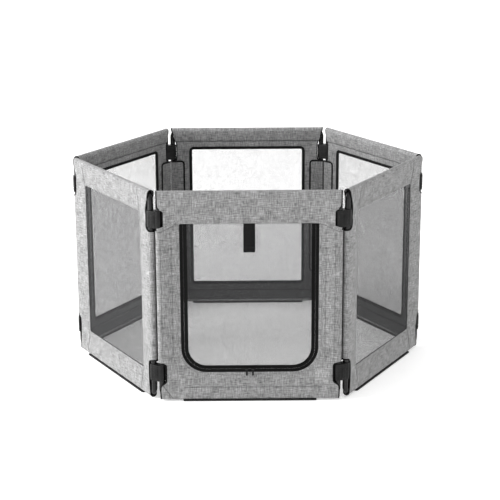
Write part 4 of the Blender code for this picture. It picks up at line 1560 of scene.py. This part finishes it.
def clamp_piece(open_jaw):
    body = outline_solid(clamp_outline(open_jaw), CLAMP_H, 0.0011)
    body.transform(Matrix.Translation((0, 0, CLAMP_H / 2)))
    smooth(body, 32)
    parts = [body]
    for z in (0.0085, CLAMP_H / 2, CLAMP_H - 0.0085):
        rib = outline_solid(clamp_outline(open_jaw, 0.0006), 0.0026, 0.0005)
        rib.transform(Matrix.Translation((0, 0, z)))
        smooth(rib, 32)
        parts.append(rib)
    # moulded pad with two pins on the outer face
    pad = rounded_box((0.0125, 0.0012, 0.030), (0, -CLAMP_R - 0.0013, CLAMP_H / 2), 0.0005)
    parts.append(pad)
    for z in (CLAMP_H / 2 - 0.010, CLAMP_H / 2 + 0.010):
        parts.append(turned([(0.0001, -0.0006), (0.0017, -0.0006), (0.0021, -0.0002), (0.0021, 0.0010), (0.0001, 0.0010)], (0, -CLAMP_R - 0.0017, z), "Y", 20))
    return join_meshes(parts, "clamp")


closed_clamp, open_clamp = clamp_piece(False), clamp_piece(True)
for corner in CORNERS:
    is_open = corner == "back_left"
    body = "panel_back" if is_open else "corner_" + corner
    for level, z in (("lower", CLAMP_LOW_Z), ("upper", CLAMP_TOP_Z)):
        at = corner_frame(corner) @ Matrix.Translation((0, 0, z))
        mesh = (open_clamp if is_open else closed_clamp).copy()
        name = "clamp_%s_%s" % (level, corner)
        piece("clip_%s_%s" % (level, corner), mesh, CLIP, body, at, (name,))

# ---------------------------------------------------------------- corner flaps

slope = (COVER_R - HEM) / (BAND_SIDE - COVER_FLAT)
FLAP_CLOTH, FLAP_RISE = 0.0011, 0.0011


def flap_path():
    c, s = math.cos(math.radians(30)), math.sin(math.radians(30))
    key = [(0.0, 0.0088), (0.0035, 0.0090)]
    for along in (0.0, COVER_FLAT, 0.022, 0.034, FLAP_REACH):
        off = COVER_R - slope * max(along - COVER_FLAT, 0) + FLAP_RISE
        key.append((TUBE_PAIR / 2 + along * c - off * s, along * s + off * c))
    pts = np.array(spaced(smoothed(key, 3), 0.0018, False))
    run = np.concatenate([[0], np.cumsum(np.linalg.norm(np.diff(pts, axis=0), axis=1))])
    return pts, run


FLAP_PTS, FLAP_RUN = flap_path()
FLAP_W = float(FLAP_RUN[-1])


def flap_point(s, z, lift, sign):
    s = min(max(s, 0.0), FLAP_W)
    x = np.interp(s, FLAP_RUN, FLAP_PTS[:, 0])
    y = np.interp(s, FLAP_RUN, FLAP_PTS[:, 1])
    e = 0.0012
    tx = np.interp(s + e, FLAP_RUN, FLAP_PTS[:, 0]) - np.interp(s - e, FLAP_RUN, FLAP_PTS[:, 0])
    ty = np.interp(s + e, FLAP_RUN, FLAP_PTS[:, 1]) - np.interp(s - e, FLAP_RUN, FLAP_PTS[:, 1])
    length = math.hypot(tx, ty) or 1
    return np.array((sign * (x - ty / length * lift), y + tx / length * lift, z))


def flap_span(s, radius=0.014):
    """Lowest and highest point of the flap at a distance from its middle."""
    from_edge = FLAP_W - s
    cut = 0.0
    if from_edge < radius:
        cut = radius - math.sqrt(max(radius**2 - (radius - from_edge) ** 2, 0))
    return FLAP_LOW_Z + cut, FLAP_TOP_Z - cut


def flap_half(sign, seed):
    columns = [FLAP_W * (1 - (1 - k / 22) ** 1.25) for k in range(23)]
    levels = 56
    verts, uvs, faces = [], [], []
    for s in columns:
        low, high = flap_span(min(s, FLAP_W - 1e-5))
        for i in range(levels + 1):
            z = low + (high - low) * i / levels
            free = math.sin(math.pi * i / levels) ** 0.5 * min(1, (FLAP_W - s) / 0.012)
            lift = 0.0009 * (0.6 + wave((s * 1.5, 0, z * 0.45), 26, seed)) * free
            verts.append(flap_point(s, z, lift, sign))
            uvs.append((s * sign + 5 + seed, z))
    m = levels + 1
    for k in range(len(columns) - 1):
        for i in range(levels):
            a = k * m + i
            faces.append((a, a + 1, a + 1 + m, a + m) if sign > 0 else (a, a + m, a + 1 + m, a + 1))
    mesh = mesh_from(verts, faces, uvs, "flap")
    obj = bpy.data.objects.new("work", mesh)
    bpy.context.scene.collection.objects.link(obj)
    wall = obj.modifiers.new("wall", "SOLIDIFY")
    wall.thickness = FLAP_CLOTH
    wall.offset = 0
    made = evaluated(obj)
    smooth(made, 45)
    return made


def flap_binding(sign, width=0.0055):
    top, low = [], []
    path = [(s, flap_span(s)[1]) for s in np.linspace(0.0, FLAP_W - 0.0142, 14)]
    path += arc(FLAP_W - 0.014, FLAP_TOP_Z - 0.014, 0.014, 86, 0, 12)
    path += [(FLAP_W, z) for z in np.linspace(FLAP_TOP_Z - 0.018, FLAP_LOW_Z + 0.018, 90)]
    path += arc(FLAP_W - 0.014, FLAP_LOW_Z + 0.014, 0.014, 0, -86, 12)
    path += [(s, flap_span(s)[0]) for s in np.linspace(FLAP_W - 0.0142, 0.0, 14)]
    pts = np.array(path)
    nrm = normals_2d(pts, False)
    if nrm[len(nrm) // 2][0] > 0:
        nrm = -nrm
    section = [(width, 0.0006), (width, 0.0011), (0.0006, 0.0013), (-0.0009, 0.0008), (-0.0009, -0.0007), (0.0006, -0.0012), (width, -0.0010), (width, -0.0006)]
    rows = []
    for (s, z), (ns, nz) in zip(pts, nrm):
        row = []
        for w, lift in section:
            p = flap_point(s + ns * w, z + nz * w, lift, sign)
            if s + ns * w > FLAP_W:
                over = s + ns * w - FLAP_W
                p = p + np.array((sign * math.cos(math.radians(25)) * over, math.sin(math.radians(25)) * over, 0))
            row.append(p)
        rows.append(row)
    return sweep(rows, False)


def flap_seam():
    """Raised seam down the middle of a flap."""
    rows = []
    for z in np.linspace(FLAP_LOW_Z + 0.001, FLAP_TOP_Z - 0.001, 80):
        bend = 0.0003 * math.sin(z * 90)
        rows.append([np.array((x + bend, y, z)) for x, y in (
            (-0.0030, 0.0094), (-0.0026, 0.0100), (-0.0010, 0.0104), (0.0, 0.0106), (0.0010, 0.0104), (0.0026, 0.0100), (0.0030, 0.0094), (0.0, 0.0088))])  # fmt: skip
    return sweep(rows, False)


half_mesh = {(sign, seed): flap_half(sign, seed) for sign, seed in ((-1, 2.0), (1, 7.0))}
for number, corner in enumerate(CORNERS):
    at = corner_frame(corner)
    is_open = corner == "back_left"
    seam_body = "panel_back" if is_open else "corner_" + corner
    for sign, (panel, _) in zip((-1, 1), CORNER_PANELS[corner]):
        side = "a" if sign < 0 else "b"
        parts = [
            ("flap_%s_%s" % (corner, side), half_mesh[(sign, 2.0 if sign < 0 else 7.0)].copy(), LINEN, "linen_fabric"),
            ("flap_edge_%s_%s" % (corner, side), flap_binding(sign), TAPE, "webbing"),
        ]
        for name, mesh, material, kind in parts:
            obj = new_object(name, mesh, material, at)
            if is_open:
                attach(obj, "panel_back" if sign < 0 else "flap_back_left")
            else:
                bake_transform(obj)
            if name.startswith("flap_" + corner):
                if is_open:
                    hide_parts("corner_flap_back_left" if sign < 0 else "corner_flap_back_left_free")
                elif sign < 0:
                    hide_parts("corner_flap_" + corner)
    # The seams at the three corners away from the key light are black tape as painted shade; the others are linen
    shaded_corner = corner in ("back_right", "right", "front_right")
    piece("flap_seam_" + corner, flap_seam(), TAPE if shaded_corner else LINEN, seam_body, at)

# ---------------------------------------------------------------- stage

floor_nodes = Nodes("floor")
where = floor_nodes.add("ShaderNodeTexCoord")
grain = floor_nodes.add("ShaderNodeTexNoise")
grain.inputs["Scale"].default_value = 2.0
floor_nodes.link(where.outputs["Object"], grain.inputs["Vector"])
floor_nodes.link(floor_nodes.ramp(grain.outputs["Fac"], [(0.3, grey(0.93)), (0.7, grey(0.95))]), floor_nodes.shader.inputs["Base Color"])
floor_nodes.shader.inputs["Roughness"].default_value = 0.95
floor_nodes.shader.inputs["Specular IOR Level"].default_value = 0.1
floor_mesh = mesh_from([(-40, -40, 0), (40, -40, 0), (40, 40, 0), (-40, 40, 0)], [(0, 1, 2, 3)])
floor = new_object("floor", floor_mesh, floor_nodes.material, Matrix.Translation((0, 0, -0.0005)))
floor_nodes.shader.inputs["Emission Color"].default_value = (1, 1, 1, 1)
floor_nodes.shader.inputs["Emission Strength"].default_value = 0.22
floor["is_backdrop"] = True

scene = bpy.context.scene
world = bpy.data.worlds.new("studio")
world.use_nodes = True
world.node_tree.nodes["Background"].inputs["Color"].default_value = (1, 1, 1, 1)
world.node_tree.nodes["Background"].inputs["Strength"].default_value = 1.08
scene.world = world


def area_light(name, place, aim, size, power):
    light = bpy.data.lights.new(name, "AREA")
    light.shape = "DISK"
    light.size = size
    light.energy = power
    obj = bpy.data.objects.new(name, light)
    scene.collection.objects.link(obj)
    obj.location = place
    obj.rotation_euler = (Vector(aim) - Vector(place)).to_track_quat("-Z", "Y").to_euler()
    return obj


area_light("key", (-5.4, -0.9, 2.2), (0, 0, 0.35), 3.0, 430)
area_light("fill", (5.0, -1.4, 2.4), (0, 0, 0.35), 3.0, 18).data.color = (1.0, 0.99, 0.93)

camera_data = bpy.data.cameras.new("camera")
camera_data.lens = 1434.6 / 500 * 36
camera_data.sensor_width = 36
camera_data.shift_x = 1.69 / 500
camera_data.shift_y = -3.2 / 500
camera_data.clip_end = 200
camera = bpy.data.objects.new("camera", camera_data)
scene.collection.objects.link(camera)
yaw, pitch, roll = -0.0061, 0.2707, -0.005
camera.matrix_world = (
    Matrix.Translation((-0.0303, -4.973, 1.757))
    @ Matrix.Rotation(yaw, 4, "Z")
    @ Matrix.Rotation(math.pi / 2 - pitch, 4, "X")
    @ Matrix.Rotation(roll, 4, "Z")
)
scene.camera = camera
scene.view_settings.view_transform = "Standard"
scene.view_settings.look = "None"

low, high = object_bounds()
{"cad": [list(map(float, cad_low)), list(map(float, cad_high))], "visual": [list(map(float, low)), list(map(float, high))]}
